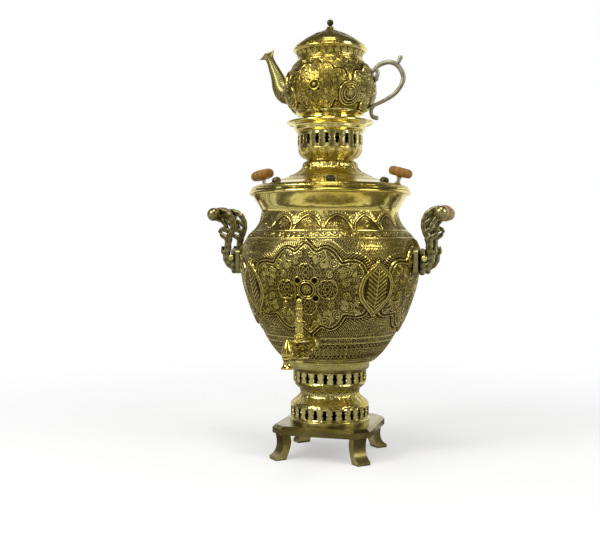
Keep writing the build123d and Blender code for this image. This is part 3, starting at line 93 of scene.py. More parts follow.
class Die:
    """A flat map of ornament, symmetrical or not, sampled between its grid points."""

    def __init__(self, low, high, pitch=die_pitch):
        self.low, self.pitch = low, pitch
        wide, tall = (int(round((high[n] - low[n]) / pitch)) + 1 for n in (0, 1))
        self.x, self.y = np.meshgrid(low[0] + pitch * np.arange(wide), low[1] + pitch * np.arange(tall))
        self.rise = np.zeros_like(self.x)
        self.dark = np.zeros_like(self.x)
        self.hatch = np.zeros_like(self.x)

    def to_line(self, points):
        """Distance of each grid point to a line through the points."""
        nearest = np.full(self.x.shape, 1.0)
        for (ax, ay), (bx, by) in zip(points[:-1], points[1:]):
            dx, dy = bx - ax, by - ay
            t = np.clip(((self.x - ax) * dx + (self.y - ay) * dy) / (dx * dx + dy * dy + 1e-12), 0, 1)
            nearest = np.minimum(nearest, np.hypot(self.x - ax - t * dx, self.y - ay - t * dy))
        return nearest

    def to_point(self, x, y):
        return np.hypot(self.x - x, self.y - y)

    def depth_in(self, line, *closing):
        """Distance of each grid point to a line, positive inside it; closing completes the outline."""
        away = self.to_line(line)
        return np.where(inside_of(np.vstack([line, *closing]), self.x, self.y), away, -away)

    def chase(self, distance, width, height, shade=0.8):
        """Raise a rounded line, and lay patina and painted shade in the corner along both its sides."""
        bar = ridge(distance, width)
        self.rise = np.maximum(self.rise, height * bar)
        near = step_up(-distance, -width * 1.3, -width * 0.5)
        edged = np.maximum(self.dark, shade * near) * (1 - bar)
        self.dark = np.where(distance < width * 1.3, edged, self.dark)
        self.hatch *= 1 - step_up(-distance, -width, -width * 0.4)

    def clear(self, area, dark=0.7):
        """Flatten an area before it is struck again."""
        self.rise = np.where(area, 0, self.rise)
        self.dark = np.where(area, dark, self.dark)

    def leaf(self, x, y, angle, long, wide, height=1.0 * mm):
        """Chase the outline and the vein of a pointed leaf, its stalk at (x, y)."""
        c, s = cos(radians(angle)), sin(radians(angle))
        along = ((self.x - x) * c + (self.y - y) * s) / long
        across = -(self.x - x) * s + (self.y - y) * c
        body = np.clip(along, 0, 1)
        half = wide / 2 * np.sqrt(np.clip(4 * body * (1 - body), 1e-6, 1)) * (1.25 - 0.5 * body)
        overshoot = np.maximum(np.maximum(-along, along - 1), 0) * long
        border = np.hypot(np.abs(np.abs(across) - half), overshoot)
        inside = (along > 0) & (along < 1) & (np.abs(across) < half)
        swell = np.where(inside, 1 - (across / half) ** 2, 0)
        self.clear(inside, 0.38)
        self.rise = np.maximum(self.rise, 0.5 * height * swell)
        self.hatch = np.where(inside, 0, self.hatch)
        self.chase(border, 1.15 * mm, height, 0.75)
        vein = np.hypot(across, np.maximum(np.maximum(0.1 - along, along - 0.8), 0) * long)
        self.chase(vein, 0.9 * mm, 0.8 * height, 0.6)

    def sample(self, u, v, *maps):
        """The given maps, or else rise, dark and hatch, at places (u, v); 0 outside the die."""
        gx, gy = (u - self.low[0]) / self.pitch, (v - self.low[1]) / self.pitch
        rows, columns = self.rise.shape
        inside = (gx >= 0) & (gy >= 0) & (gx <= columns - 1.001) & (gy <= rows - 1.001)
        ix = np.clip(gx.astype(int), 0, columns - 2)
        iy = np.clip(gy.astype(int), 0, rows - 2)
        fx, fy = np.clip(gx - ix, 0, 1), np.clip(gy - iy, 0, 1)
        found = []
        for m in maps or (self.rise, self.dark, self.hatch):
            value = (m[iy, ix] * (1 - fx) + m[iy, ix + 1] * fx) * (1 - fy)
            value += (m[iy + 1, ix] * (1 - fx) + m[iy + 1, ix + 1] * fx) * fy
            found.append(np.where(inside, value, 0))
        return found


def spiral(x, y, out_r, turns, start, hand=1, count=60):
    """A scroll that winds inwards from out_r, as a line."""
    t = np.linspace(0, 1, count)
    r = out_r * (1 - 0.85 * t)
    angle = radians(start) + hand * turns * 2 * pi * t
    return np.stack([x + r * np.cos(angle), y + r * np.sin(angle)], 1)


print("a die has a point every", round(die_pitch / mm, 2), "mm")

# %% [markdown]
# ## The medallion
# Four lobed medallions cover the urn. Each is a shield with a pointed tip above and below, a
# broad polished rim, a rosette in the middle with four small eyes and four round petals, and
# scrolls in what is left. It is the same left and right, up and down, so only a quarter is drawn.

# %% Draw the medallion die
medallion_wide, medallion_high = 82 * mm, 65 * mm


def medallion_edge(wide, high):
    """The lobed outline of a quarter, from the tip to the side."""
    notches = [(0, high), (0.18 * wide, 0.80 * high), (0.57 * wide, 0.58 * high), (0.93 * wide, 0.31 * high)]
    return np.concatenate([
        np.array([notches[0], notches[1]]),
        bow(notches[1], (0.38 * wide, 0.84 * high), notches[2]),
        bow(notches[2], (0.83 * wide, 0.57 * high), notches[3]),
        bow(notches[3], (0.98 * wide, 0.16 * high), (wide, 0)),
    ])


def inside_of(points, x, y):
    """True inside the closed outline (even-odd rule)."""
    inside = np.zeros(x.shape, bool)
    for (ax, ay), (bx, by) in zip(points, np.roll(points, -1, axis=0)):
        crosses = (ay > y) != (by > y)
        at = ax + (y - ay) * (bx - ax) / (by - ay + 1e-12)
        inside ^= crosses & (x < at)
    return inside


medallion = Die((0, 0), (medallion_wide + 14 * mm, medallion_high + 14 * mm))
edge = medallion_edge(medallion_wide, medallion_high)
depth = medallion.depth_in(edge, [(0, 0)])

medallion.dark[:] = 0.34 * (depth > 0)
medallion.hatch[:] = 0.75 * (depth > 6 * mm)
scrolls = [
    # middle x and y, outer radius, turns, start angle, hand
    (20.0, 43.0, 8.6, 2.6, 200, -1),
    (36.5, 33.5, 7.8, 2.4, 120, 1),
    (51.5, 23.0, 7.8, 2.4, 215, -1),
    (66.5, 12.0, 6.8, 2.2, 200, -1),
    (31.0, 19.5, 5.0, 1.8, 60, 1),
    (7.5, 45.0, 4.6, 1.7, 300, 1),
    (50.5, 8.5, 5.4, 1.9, 30, 1),
    (0.0, 54.0, 3.0, 1.2, 90, 1),
    (73.5, 3.0, 3.0, 1.2, 0, 1),
]
for x, y, out_r, turns, start, hand in scrolls:
    medallion.clear(medallion.to_point(x * mm, y * mm) < (out_r + 0.8) * mm, 0.45)
    line = spiral(x * mm, y * mm, out_r * mm, turns, start, hand)
    medallion.chase(medallion.to_line(line), 1.25 * mm, 1.0 * mm, shade=0.6)
leaves = [
    # stalk x and y, direction, length and width
    (25, 27, 70, 9, 4.4), (24, 28, 115, 9, 4.2), (41, 24, 10, 8, 4), (28, 11, -12, 10, 4.4),
    (12, 33, 55, 9, 4.2), (43, 15, 30, 9, 4.2), (10, 54, 40, 7, 4), (59, 17, 60, 7, 3.6),
    (28, 36, 80, 8, 4), (44, 31, 65, 8, 4), (60, 3, 10, 8, 4), (13, 37, 100, 7, 3.6), (57, 28, 30, 8, 3.8),
]
for x, y, angle, long, wide in leaves:
    medallion.leaf(x * mm, y * mm, angle, long * mm, wide * mm, 0.9 * mm)
for x, y, out_r in ((0, 22.0, 11.6), (27.0, 0, 12.2)):
    away = medallion.to_point(x * mm, y * mm)
    medallion.clear(away < (out_r + 0.9) * mm, 0.42)
    medallion.hatch[away < (out_r - 2) * mm] = 0.8
    medallion.chase(away - out_r * mm, 1.3 * mm, 1.1 * mm)
    turn = np.arctan2(medallion.y - y * mm, medallion.x - x * mm)
    for petals, flower_r in ((8, 9.2), (6, 6.2), (5, 3.2)):
        flower = away - flower_r * (1 + 0.16 * np.cos(petals * turn)) * mm
        medallion.chase(flower, 1.1 * mm, 0.8 * mm, shade=0.55)
eye = medallion.to_point(11.4 * mm, 11.6 * mm)
medallion.clear(eye < 5.4 * mm)
medallion.chase(eye - 4.7 * mm, 1.3 * mm, 1.1 * mm)
medallion.dark = np.maximum(medallion.dark, step_up(-eye, -3.4 * mm, -2.6 * mm))
middle = medallion.to_point(0, 0)
medallion.clear(middle < 12.8 * mm, dark=0.6)
medallion.chase(middle - 12.0 * mm, 1.3 * mm, 1.1 * mm)
medallion.chase(middle - 9.4 * mm, 1.6 * mm, 1.4 * mm)
medallion.dark = np.maximum(medallion.dark, step_up(-middle, -8.2 * mm, -7.4 * mm))
medallion.dark = np.where(middle < 6.4 * mm, 0.5, medallion.dark)
medallion.hatch = np.where(middle < 6.4 * mm, 0.5, medallion.hatch)
medallion.rise = np.maximum(medallion.rise, 0.8 * mm * step_up(-middle, -6.6 * mm, -5.6 * mm))

rim = ridge(depth - 1.1 * mm, 1.9 * mm)
line_inside = ridge(depth - 5.6 * mm, 1.5 * mm)
border = step_up(-depth, -7.2 * mm, -6.6 * mm)
medallion.rise = medallion.rise * (1 - border) + np.maximum(1.5 * mm * rim, 0.9 * mm * line_inside)
border_dark = np.clip(0.55 - 1.15 * rim - line_inside, 0, 1) * (depth > 0)
medallion.dark = medallion.dark * (1 - border) + border * border_dark
# Painted shadow: a dark band just outside the raised outline, where the medallion's edge throws shade.
outline_shadow = step_up(depth, -2.4 * mm, -0.8 * mm) * (depth < 0)
medallion.dark = np.maximum(medallion.dark, outline_shadow)
between_lines = ridge(depth - 3.4 * mm, 3.2 * mm) > 0
medallion.hatch = np.where(between_lines, 0.6, medallion.hatch) * (depth >= 0)
feather = np.arctan2(medallion.y + 6 * mm, medallion.x + 6 * mm) * 27
feather = ridge((feather % 1) - 0.5, 0.75) * step_up(depth, -9.0 * mm, -7.0 * mm) * (depth < -0.6 * mm)
medallion.rise = np.maximum(medallion.rise, 0.9 * mm * feather)
between_feathers = 0.95 * (1 - feather) * step_up(depth, -8.5 * mm, -7.0 * mm) * (depth < 0)
medallion.dark = np.maximum(medallion.dark, between_feathers)
lift_medallion = step_up(depth, -1.2 * mm, 2.4 * mm)
print("medallion die", medallion.x.shape, "rises", round(medallion.rise.max() / mm, 2), "mm")

# %% [markdown]
# ## The leaf between two medallions
# Where two medallions meet stands a leaf: a drop with a broad polished rim, and ribs inside it
# that climb from a stem like an ear of wheat. Three small eyes sit round its upper tip.

# %% Draw the leaf die
leaf_wide, leaf_high = 26.5 * mm, 39 * mm
boss = Die((-leaf_wide - 6 * mm, -leaf_high - 6 * mm), (leaf_wide + 6 * mm, leaf_high + 6 * mm))
upper_side = cubic([(0, 1), (0.35, 0.62), (1, 0.62), (1, 0)], 16)
lower_side = cubic([(1, 0), (1, -0.5), (0.3, -0.7), (0, -1)], 16)
drop = np.vstack([upper_side, lower_side]) * (leaf_wide, leaf_high)
drop = np.vstack([drop, drop[::-1] * (-1, 1)])
drop_depth = boss.depth_in(drop)
boss.dark[:] = 0.55
rib_step, rib_reach = 5.6 * mm, 14 * mm
rib = np.abs((boss.y - 0.75 * np.abs(boss.x)) / rib_step % 1 - 0.5) * rib_step
boss.chase(np.where(np.abs(boss.x) < rib_reach, rib, 1.0), 2.3 * mm, 0.9 * mm, shade=0.9)
boss.hatch[:] = 0.7 * (np.abs(boss.x) > rib_reach)
boss.chase(np.where(np.abs(boss.y) < 27 * mm, np.abs(boss.x), 1.0), 2.0 * mm, 1.0 * mm, shade=0.7)
boss.dark *= drop_depth > 0
boss.hatch *= drop_depth > 0
boss.rise *= drop_depth > 7 * mm
boss_rim = 0.8 * ridge(drop_depth - 1.3 * mm, 2.0 * mm)
boss_rim = np.maximum(boss_rim, 0.7 * ridge(drop_depth - 5.0 * mm, 1.5 * mm))
boss.rise = np.maximum(boss.rise, 1.3 * mm * boss_rim)
frame_zone = (drop_depth > 0) & (drop_depth < 6.5 * mm)
boss.dark = np.where(frame_zone, np.clip(0.5 - 0.9 * boss_rim, 0, 1), boss.dark)
boss.hatch = np.where(frame_zone, 0, boss.hatch)
# Painted shadow: a dark band just outside the leaf's raised rim.
boss.dark = np.maximum(boss.dark, step_up(drop_depth, -2.0 * mm, -0.5 * mm) * (drop_depth < 0))
for x, y in ((9.5, 33), (-9.5, 33), (0, 37)):
    away = boss.to_point(x * mm, y * mm)
    boss.clear(away < 4.4 * mm, dark=0.8)
    boss.chase(away - 3.0 * mm, 2.2 * mm, 1.6 * mm)
    boss.chase(away, 2.0 * mm, 1.2 * mm)
lift_boss = step_up(drop_depth, -1.0 * mm, 2.2 * mm)
print("leaf die", boss.x.shape)

# %% [markdown]
# ## Bands round the neck and the foot
# Round the neck runs a row of pointed arches, each with a small eye on a crossed ground, over a
# band of running scrolls between two raised lines. Above the foot runs a row of ovals over a
# plaited band. Each of these needs one repeat only, struck again and again round the axis.

# %% Draw one repeat of each band
arch_wide, arch_high, fringe_high = 40 * mm, 21 * mm, 4 * mm
arch = Die((-arch_wide / 2, 0), (arch_wide / 2, arch_high + fringe_high))
arch_side = cubic([
    (arch_wide / 2 - 0.8 * mm, 0), (arch_wide / 2 - 2 * mm, 10.5 * mm), (10 * mm, 18.5 * mm), (0, arch_high),
], 18)
ogive = np.vstack([arch_side, arch_side[::-1] * (-1, 1)])
arch_depth = arch.depth_in(ogive)
arch.dark[:] = 0.5 * (arch_depth > 0)
arch.hatch[:] = 0.8 * (arch_depth > 0)
for x in np.arange(-18, 19, 3.6):
    for lean in (1, -1):
        line = np.array([(x * mm, 0), (x * mm + lean * 22 * mm, 22 * mm)])
        arch.chase(arch.to_line(line), 0.9 * mm, 0.3 * mm, shade=0.95)
arch_eye = arch.to_point(0, 8.4 * mm)
arch.clear(arch_eye < 4.6 * mm, 0.5)
for ring_r in (4.0, 1.6):
    arch.chase(arch_eye - ring_r * mm, 1.1 * mm, 0.8 * mm)
arch_in = step_up(arch_depth, 3.0 * mm, 3.6 * mm)
arch_rim = ridge(arch_depth - 1.1 * mm, 2.0 * mm)
arch.rise = arch.rise * arch_in + 1.1 * mm * arch_rim
rim_dark = np.clip(0.9 - 1.2 * arch_rim, 0, 1)
arch.dark = (arch.dark * arch_in + (1 - arch_in) * rim_dark) * (arch_depth > 0)
arch.hatch *= arch_in
arch.dark = np.maximum(arch.dark, step_up(arch_depth, -1.5 * mm, -0.3 * mm) * (arch_depth < 0))
outside = -arch_depth - 1.8 * mm
fringe_turn = np.arctan2(arch.y, arch.x) * 15 * mm
tongue = ridge((fringe_turn / (2.6 * mm) % 1) - 0.5, 0.85)
fringe_zone = (outside > 0) & (outside < 3.6 * mm)
arch.rise = np.where(fringe_zone, 0.5 * mm * tongue, arch.rise)
arch.dark = np.where(fringe_zone, 0.55 * (1 - tongue), arch.dark)
arch.dark = np.maximum(arch.dark, 0.6 * ridge(outside - 4.2 * mm, 1.4 * mm))
low_gap = (arch_depth < 0) & (arch.y < 8 * mm)
arch.hatch = np.where(low_gap & (outside > 3 * mm), 0.8, arch.hatch)

wave_wide, wave_high = 15 * mm, 8.4 * mm
wave = Die((0, 0), (wave_wide, wave_high))
wave.dark[:] = 0.45
wave.hatch[:] = 0.6
run = np.linspace(0, wave_wide, 40)
stem = np.stack([run, wave_high / 2 + 2.2 * mm * np.sin(2 * pi * run / wave_wide)], 1)
wave.chase(wave.to_line(stem), 1.2 * mm, 0.8 * mm, shade=0.6)
for x, y in ((3.75, 2.6), (11.25, 5.8)):
    wave.chase(wave.to_point(x * mm, y * mm) - 1.2 * mm, 1.0 * mm, 0.8 * mm, shade=0.6)

plait_wide, plait_high = 13 * mm, 23 * mm
plait = Die((0, 0), (plait_wide, plait_high))
plait.dark[:] = 0.55
plait.hatch[:] = 0.7
phase = 2 * pi * plait.x / plait_wide
for shift in (0, pi):
    for n in (-1, 0, 1):
        middle_line = plait_high / 2 + n * 5.2 * mm + 4.6 * mm * np.sin(phase + shift)
        slant = np.sqrt(1 + (4.6 * mm * 2 * pi / plait_wide * np.cos(phase + shift)) ** 2)
        plait.chase(np.abs(plait.y - middle_line) / slant, 1.2 * mm, 0.9 * mm, shade=0.7)
for n in (0, 1):
    for y in (plait_high * 0.1, plait_high * 0.9):
        plait.chase(plait.to_point((0.25 + 0.5 * n) * plait_wide, y), 2.0 * mm, 0.8 * mm)

bead_wide, bead_high = 7.5 * mm, 6.6 * mm
beading = Die((0, 0), (bead_wide, bead_high))
beading.dark[:] = 0.35
beading.hatch[:] = 0.5
oval = np.hypot((beading.x - bead_wide / 2) / 0.75, beading.y - bead_high / 2)
beading.chase(oval - 2.3 * mm, 1.2 * mm, 0.9 * mm, shade=0.6)
beading.dark = np.maximum(beading.dark, step_up(-oval, -1.5 * mm, -0.9 * mm))
print("dies for the bands", arch.x.shape, wave.x.shape, plait.x.shape, beading.x.shape)

# %% [markdown]
# ## The urn's skin
# A spun shell is a line turned about an axis. The line here is the urn's own profile, three
# smooth curves long. A net of points is laid over it, about a millimetre apart, and each point
# moves out along the shell's normal by what the dies say. The same dies also give each point
# three numbers that the brass finish reads later: dark, hatch and polish.

# %% The profile of the urn
body_z, belly_z, neck_z, rim_z = 0.134, 0.284, 0.346, 0.376
base_r, belly_r, neck_r, rim_r, bead_r = 0.058, 0.1257, 0.0979, 0.1155, 0.0032
wall = 0.0016
# Each curve of a profile has four corners: (radius, height) in metres.
urn_lower = [
    (base_r, body_z), (base_r + 0.0242, body_z + 0.0083), (belly_r, belly_z - 0.0615), (belly_r, belly_z),
]
urn_shoulder = [
    (belly_r, belly_z), (belly_r, belly_z + 0.03906), (neck_r, neck_z - 0.02976), (neck_r, neck_z),
]
urn_flare = [
    (neck_r, neck_z),
    (neck_r, neck_z + 0.006),
    (neck_r + (rim_r - neck_r) * 0.35, neck_z + 0.012),
    (rim_r - bead_r, rim_z - bead_r),
]


def run_along(line):
    """How far along a line each of its points lies."""
    return np.concatenate([[0], np.cumsum(np.hypot(*np.diff(line[:, :2], axis=0).T))])


def even_steps(line, step):
    """The same line with its points an even step apart."""
    at = run_along(line)
    want = np.linspace(0, at[-1], max(2, int(round(at[-1] / step)) + 1))
    return np.stack([np.interp(want, at, column) for column in line.T], 1)


def join_curves(*curves):
    parts = [cubic(corners, 80) for corners in curves]
    return np.vstack([parts[0]] + [p[1:] for p in parts[1:]])


def normals_of(rows):
    """The directions that point away from the metal, along a profile drawn upwards."""
    tangent = np.gradient(rows, axis=0)
    normal = np.stack([tangent[:, 1], -tangent[:, 0]], 1)
    return normal / np.linalg.norm(normal, axis=1, keepdims=True)


urn_line = even_steps(join_curves(urn_lower, urn_shoulder, urn_flare), 0.2 * mm)
print("the urn's profile is", round(run_along(urn_line)[-1] / mm), "mm long")

# %% Strike the dies round the urn
medallion_z = 0.243
medallion_relief = 4.5 * mm
sunk = 1.6 * mm  # what the chased lines stand up again, so that they end level with the solid


def bare(r, dark=0, hatch=0):
    """The state before any die is struck: rise, dark, hatch and polish."""
    zero = np.zeros_like(r)
    return zero, dark + zero, hatch + zero, zero


def between_heights(z, low, high):
    """1 between two heights and 0 outside them, with soft ends."""
    soft = 0.5 * mm
    return step_up(z, low - soft, low + soft) * (1 - step_up(z, high - soft, high + soft))


def on_facing_side(die, lift, turn, u, v):
    """Rise, dark, hatch and lift of a die, on the side of the shell where it is struck."""
    facing = np.cos(turn) > 0.3
    return [np.where(facing, value, 0) for value in die.sample(u, v, die.rise, die.dark, die.hatch, lift)]


def strike_shield(angle, r, z, size, centre_z, relief, state, between=True):
    """Press four medallions, and four leaves between them, into a shell; size scales the dies."""
    rise, dark, hatch, polish = state
    v = (z - centre_z) / size
    for n in range(4):
        turn = angle - n * pi / 2
        u = r * np.sin(turn) / size
        up, d, h, lifted = on_facing_side(medallion, lift_medallion, turn, np.abs(u), np.abs(v))
        rise = np.maximum(rise, lifted * (relief - sunk * size) + up * size)
        near = np.clip(lifted + (d > 0.02) + (h > 0.3), 0, 1)
        dark = np.where(near > 0.5, d, dark)
        hatch = np.where(near > 0.5, h, hatch)
        polish = np.maximum(polish, lifted * np.clip(up / (1.1 * mm), 0, 1))
    for n in range(4 * between):
        turn = angle - pi / 4 - n * pi / 2
        up, d, h, lifted = on_facing_side(boss, lift_boss, turn, r * np.sin(turn) / size, v)
        over = lifted > 0.02
        pressed = np.maximum(rise, lifted * (relief * 1.1 - sunk * size) + up * size)
        rise = np.where(over, pressed, rise)
        dark = np.where(over, d, np.maximum(dark, d))
        hatch = np.where(over, h, hatch)
        polish = np.where(over, np.clip(up / (1.2 * mm), 0, 1), polish)
    return rise, dark, hatch, polish


def strike_row(die, angle, height, count, base, state, depth=1.0):
    """Strike one die again and again round the axis, its foot at height base."""
    rise, dark, hatch, polish = state
    wide = die.x.max() - die.x.min()
    cell = 2 * pi / count
    local = (angle % cell) / cell * wide + die.x.min()
    up, d, h = die.sample(local, height - base)
    band = (height >= base) & (height <= base + die.y.max())
    rise = np.where(band, np.maximum(rise, up * depth), rise)
    dark = np.where(band, d, dark)
    hatch = np.where(band, h, hatch)
    polished = np.maximum(polish, np.clip(up / (0.9 * mm), 0, 1))
    return rise, dark, hatch, np.where(band, polished, polish)


def strike_lines(height, lines, state):
    """Raised lines round the axis, with patina and painted shade along both sides; width and rise are in
    millimetres.
    """
    rise, dark, hatch, polish = state
    for middle, width, rise_by in lines:
        away = np.abs(height - middle)
        bar = ridge(away, width * mm)
        near = np.clip(1.5 - away / (width * mm * 0.75), 0, 1)
        rise = np.maximum(rise, rise_by * mm * bar)
        dark = np.where(near > 0, np.maximum(dark, 0.75 * near) * (1 - bar), dark)
        hatch = hatch * (1 - np.clip(near * 2, 0, 1))
        polish = np.maximum(polish, bar)
    return rise, dark, hatch, polish


# Heights on the urn, in metres, and how often each band's die is struck round it
ground_z = 0.144, 0.320
plait_z, beading_z, wave_z, arch_z = 0.1440, 0.1678, 0.3107, 0.3212
plait_count, beading_count, wave_count, arch_count = 42, 84, 46, 16
arch_turn = radians(13.5)
foot_lines = [(middle, 1.7, 0.9) for middle in (0.1375, 0.1405, 0.1435, 0.1672, 0.1750)]
neck_lines = [(middle, 2.0, 1.1) for middle in (0.3098, 0.3200)]


def urn_state(angle, r, z):
    """What the dies leave at places on the urn."""
    ground = between_heights(z, *ground_z)
    state = bare(r, 0.16 * ground, ground)
    state = strike_shield(angle, r, z, 1.0, medallion_z, medallion_relief, state)
    state = strike_row(plait, angle, z, plait_count, plait_z, state)
    state = strike_row(beading, angle, z, beading_count, beading_z, state)
    state = strike_lines(z, foot_lines, state)
    state = strike_row(wave, angle, z, wave_count, wave_z, state)
    state = strike_lines(z, neck_lines, state)
    return strike_row(arch, angle + arch_turn, z, arch_count, arch_z, state)


print(arch_count, "arches and", len(foot_lines) + len(neck_lines), "raised lines round the urn")

# %% Lay the net of points and close it into a shell
def placed(name, data):
    """A new object, linked to the scene."""
    obj = bpy.data.objects.new(name, data)
    bpy.context.scene.collection.objects.link(obj)
    return obj


def surface_mesh(name, rows, angles, state_of, inner, closed, body, axis=(0, 0)):
    """A shell from profile rows and angles, moved out by its ornament, with an inner wall."""
    normal = normals_of(rows)
    angle = np.repeat(angles[None, :], len(rows), 0)
    r = np.repeat(rows[:, :1], len(angles), 1)
    z = np.repeat(rows[:, 1:], len(angles), 1)
    rise, dark, hatch, polish = state_of(angle, r, z)
    r2 = r + rise * normal[:, :1]
    z2 = z + rise * normal[:, 1:]
    outer_points = np.stack([r2 * np.cos(angle), r2 * np.sin(angle), z2], -1)
    a2 = np.repeat(angles[None, :], len(inner), 0)
    inner_points = np.stack([inner[:, :1] * np.cos(a2), inner[:, :1] * np.sin(a2), inner[:, 1:] + 0 * a2], -1)
    points = np.concatenate([outer_points, inner_points]) + (*axis, 0)
    total, across = points.shape[:2]
    index = np.arange(total * across).reshape(total, across)
    nxt = np.roll(index, -1, axis=1) if closed else index[:, 1:]
    cur = index if closed else index[:, :-1]
    below = np.roll(cur, -1, axis=0)
    below_next = np.roll(nxt, -1, axis=0)
    faces = np.stack([cur, nxt, below_next, below], -1).reshape(-1, 4)
    ends = [] if closed else [index[:, 0].tolist(), index[::-1, -1].tolist()]
    mesh = bpy.data.meshes.new(name)
    mesh.from_pydata(points.reshape(-1, 3).tolist(), [], faces.tolist() + ends)
    for label, values in (("dark", dark), ("hatch", hatch), ("polish", polish)):
        data = np.concatenate([values.ravel(), np.zeros(len(inner) * across)])
        mesh.attributes.new(label, "FLOAT", "POINT").data.foreach_set("value", data.astype(np.float32))
    uv_point = np.zeros((total, across, 2))
    uv_point[: len(rows), :, 0] = (angles / (2 * pi))[None, :]
    uv_point[: len(rows), :, 1] = run_along(rows)[:, None]
    uv_point = uv_point.reshape(-1, 2)
    layer = mesh.uv_layers.new(name="chasing")
    corner = np.zeros(len(mesh.loops), np.int32)
    mesh.loops.foreach_get("vertex_index", corner)
    uv = uv_point[corner]
    if closed:
        wraps = np.zeros(len(mesh.loops), bool)
        quads = np.arange(len(faces) * 4).reshape(-1, 4)
        seam = (faces[:, 1] % across) == 0
        wraps[quads[seam][:, 1:3].ravel()] = True
        uv[wraps, 0] += 1
    layer.data.foreach_set("uv", uv.astype(np.float32).ravel())
    mesh.polygons.foreach_set("use_smooth", [True] * len(mesh.polygons))
    mesh.update()
    mesh.set_sharp_from_angle(angle=radians(70))
    obj = placed(name, mesh)
    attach(obj, body)
    return obj


def part_of_line(line, low, high, step):
    """The stretch of a profile between two heights, its points an even step apart."""
    z = line[:, 1]
    middle = line[(z > low) & (z < high)]
    r_low, r_high = np.interp([low, high], z, line[:, 0])
    return even_steps(np.vstack([[(r_low, low)], middle, [(r_high, high)]]), step)


def inside_line(rows, thick, count):
    """The inner wall of a shell, going back from the far end to the first."""
    pick = np.linspace(len(rows) - 1, 0, count).round().astype(int)
    return (rows - thick * normals_of(rows))[pick]


print("at 0.75 mm, the urn's net has", len(part_of_line(urn_line, body_z, rim_z, 0.75 * mm)), "rows")

# %% Press the skin of the urn
def turn_angles(start, end, count, closed):
    return np.linspace(radians(start), radians(end), count, endpoint=not closed)


def down_to_floor(inner, under_z, thick, hole_r):
    """Carry the inner wall on over the floor to the hole in its middle."""
    floor_z = under_z + thick
    above = inner[inner[:, 1] > floor_z + 0.4 * mm]
    return np.vstack([above, [(above[-1, 0], floor_z), (hole_r, floor_z), (hole_r, under_z)]])


foot_top, belly_top, flare_low = 0.178, 0.309, 0.3465
tube_hole_r = 0.0401
lower = part_of_line(urn_line, body_z, foot_top, 0.75 * mm)
urn_skin = [surface_mesh(
    "urn_lower_skin", lower, turn_angles(0, 360, 600, True), urn_state,
    down_to_floor(inside_line(lower, wall, 10), body_z, wall, tube_hole_r), True, "urn",
)]
belly = part_of_line(urn_line, foot_top, belly_top, 0.72 * mm)
for side, start in (("front", 225), ("right", 315), ("back", 45), ("left", 135)):
    urn_skin.append(surface_mesh(
        f"urn_{side}_skin", belly, turn_angles(start, start + 90, 280, False), urn_state,
        inside_line(belly, wall, 10), False, "urn",
    ))
neck = part_of_line(urn_line, belly_top, flare_low, 0.72 * mm)
neck_skin = surface_mesh(
    "urn_neck_skin", neck, turn_angles(0, 360, 840, True), urn_state,
    inside_line(neck, wall, 10), True, "urn",
)
urn_skin.append(neck_skin)
flare = part_of_line(urn_line, flare_low, rim_z - bead_r * 1.6, 1.0 * mm)


def bead_line(out_r, top_z, bead_r):
    """The rolled edge of a rim, as the end of its profile."""
    turn = np.radians(np.arange(-60, 201, 20))
    return np.array([out_r - bead_r, top_z - bead_r]) + bead_r * np.stack([np.cos(turn), np.sin(turn)], 1)


def plain_state(angle, r, z):
    """Nothing struck."""
    return bare(r)


flare_skin = surface_mesh(
    "urn_flare_skin", np.vstack([flare, bead_line(rim_r, rim_z, bead_r)]), turn_angles(0, 360, 360, True),
    plain_state, inside_line(flare, wall, 10), True, "urn",
)
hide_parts("body_shell")
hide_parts("body_neck")
print(sum(len(piece.data.polygons) for piece in urn_skin), "faces on the urn")

# %% [markdown]
# ## The teapot wears the same dies
# The teapot's belly carries the same medallions at just over half the size, and a round boss
# between each two. Round its neck stands a row of tongues. Its lid and the lid of the urn, the cup
# under the crown, the waist of the pedestal and the tap are chased too, each with a thin skin laid
# over the solid.

# %% Draw the tongue, the flame and the round boss
tongue_wide, tongue_high = 9 * mm, 9 * mm
tongues = Die((-tongue_wide / 2, 0), (tongue_wide / 2, tongue_high))
tongues.dark[:] = 0.6
tongues.leaf(0, 0.4 * mm, 90, 8.2 * mm, 5.2 * mm, 0.7 * mm)
for x in (-4.3, 4.3):
    tongues.chase(tongues.to_point(x * mm, 7.0 * mm), 1.8 * mm, 0.7 * mm)
tongues.chase(tongues.y - 0.6 * mm, 1.0 * mm, 0.5 * mm)

flame_wide, flame_high = 17 * mm, 24 * mm
flame = Die((-flame_wide / 2, 0), (flame_wide / 2, flame_high))
flame.dark[:] = 0.6
flame.hatch[:] = 0.4
for x, y, angle, long, wide in (
    (0, 1, 90, 21, 8), (-8.2, 0.5, 90, 14, 6), (8.2, 0.5, 90, 14, 6), (-3, 1, 125, 9, 4), (3, 1, 55, 9, 4),
    (-5.5, 12, 105, 9, 4), (5.5, 12, 75, 9, 4),
):
    flame.leaf(x * mm, y * mm, angle, long * mm, wide * mm, 0.7 * mm)

rounds = Die((0, 0), (18 * mm, 18 * mm))
out_round = rounds.to_point(0, 0)
rounds.dark[:] = 0.4
rounds.hatch[:] = 0.8 * (out_round < 6 * mm)
for n in range(4):
    rounds.leaf(0, 0, 22 + 45 * n, 6.0 * mm, 3.4 * mm, 0.7 * mm)
for ring_r, wide, up in ((15.2, 2.0, 1.2), (12.0, 1.3, 0.8), (8.4, 1.3, 0.8), (2.0, 1.2, 0.8)):
    rounds.chase(out_round - ring_r * mm, wide * mm, up * mm)
rounds.dark = np.where(out_round > 16.5 * mm, step_up(-out_round, -17.8 * mm, -17.0 * mm), rounds.dark)
print("small dies", tongues.x.shape, flame.x.shape, rounds.x.shape)

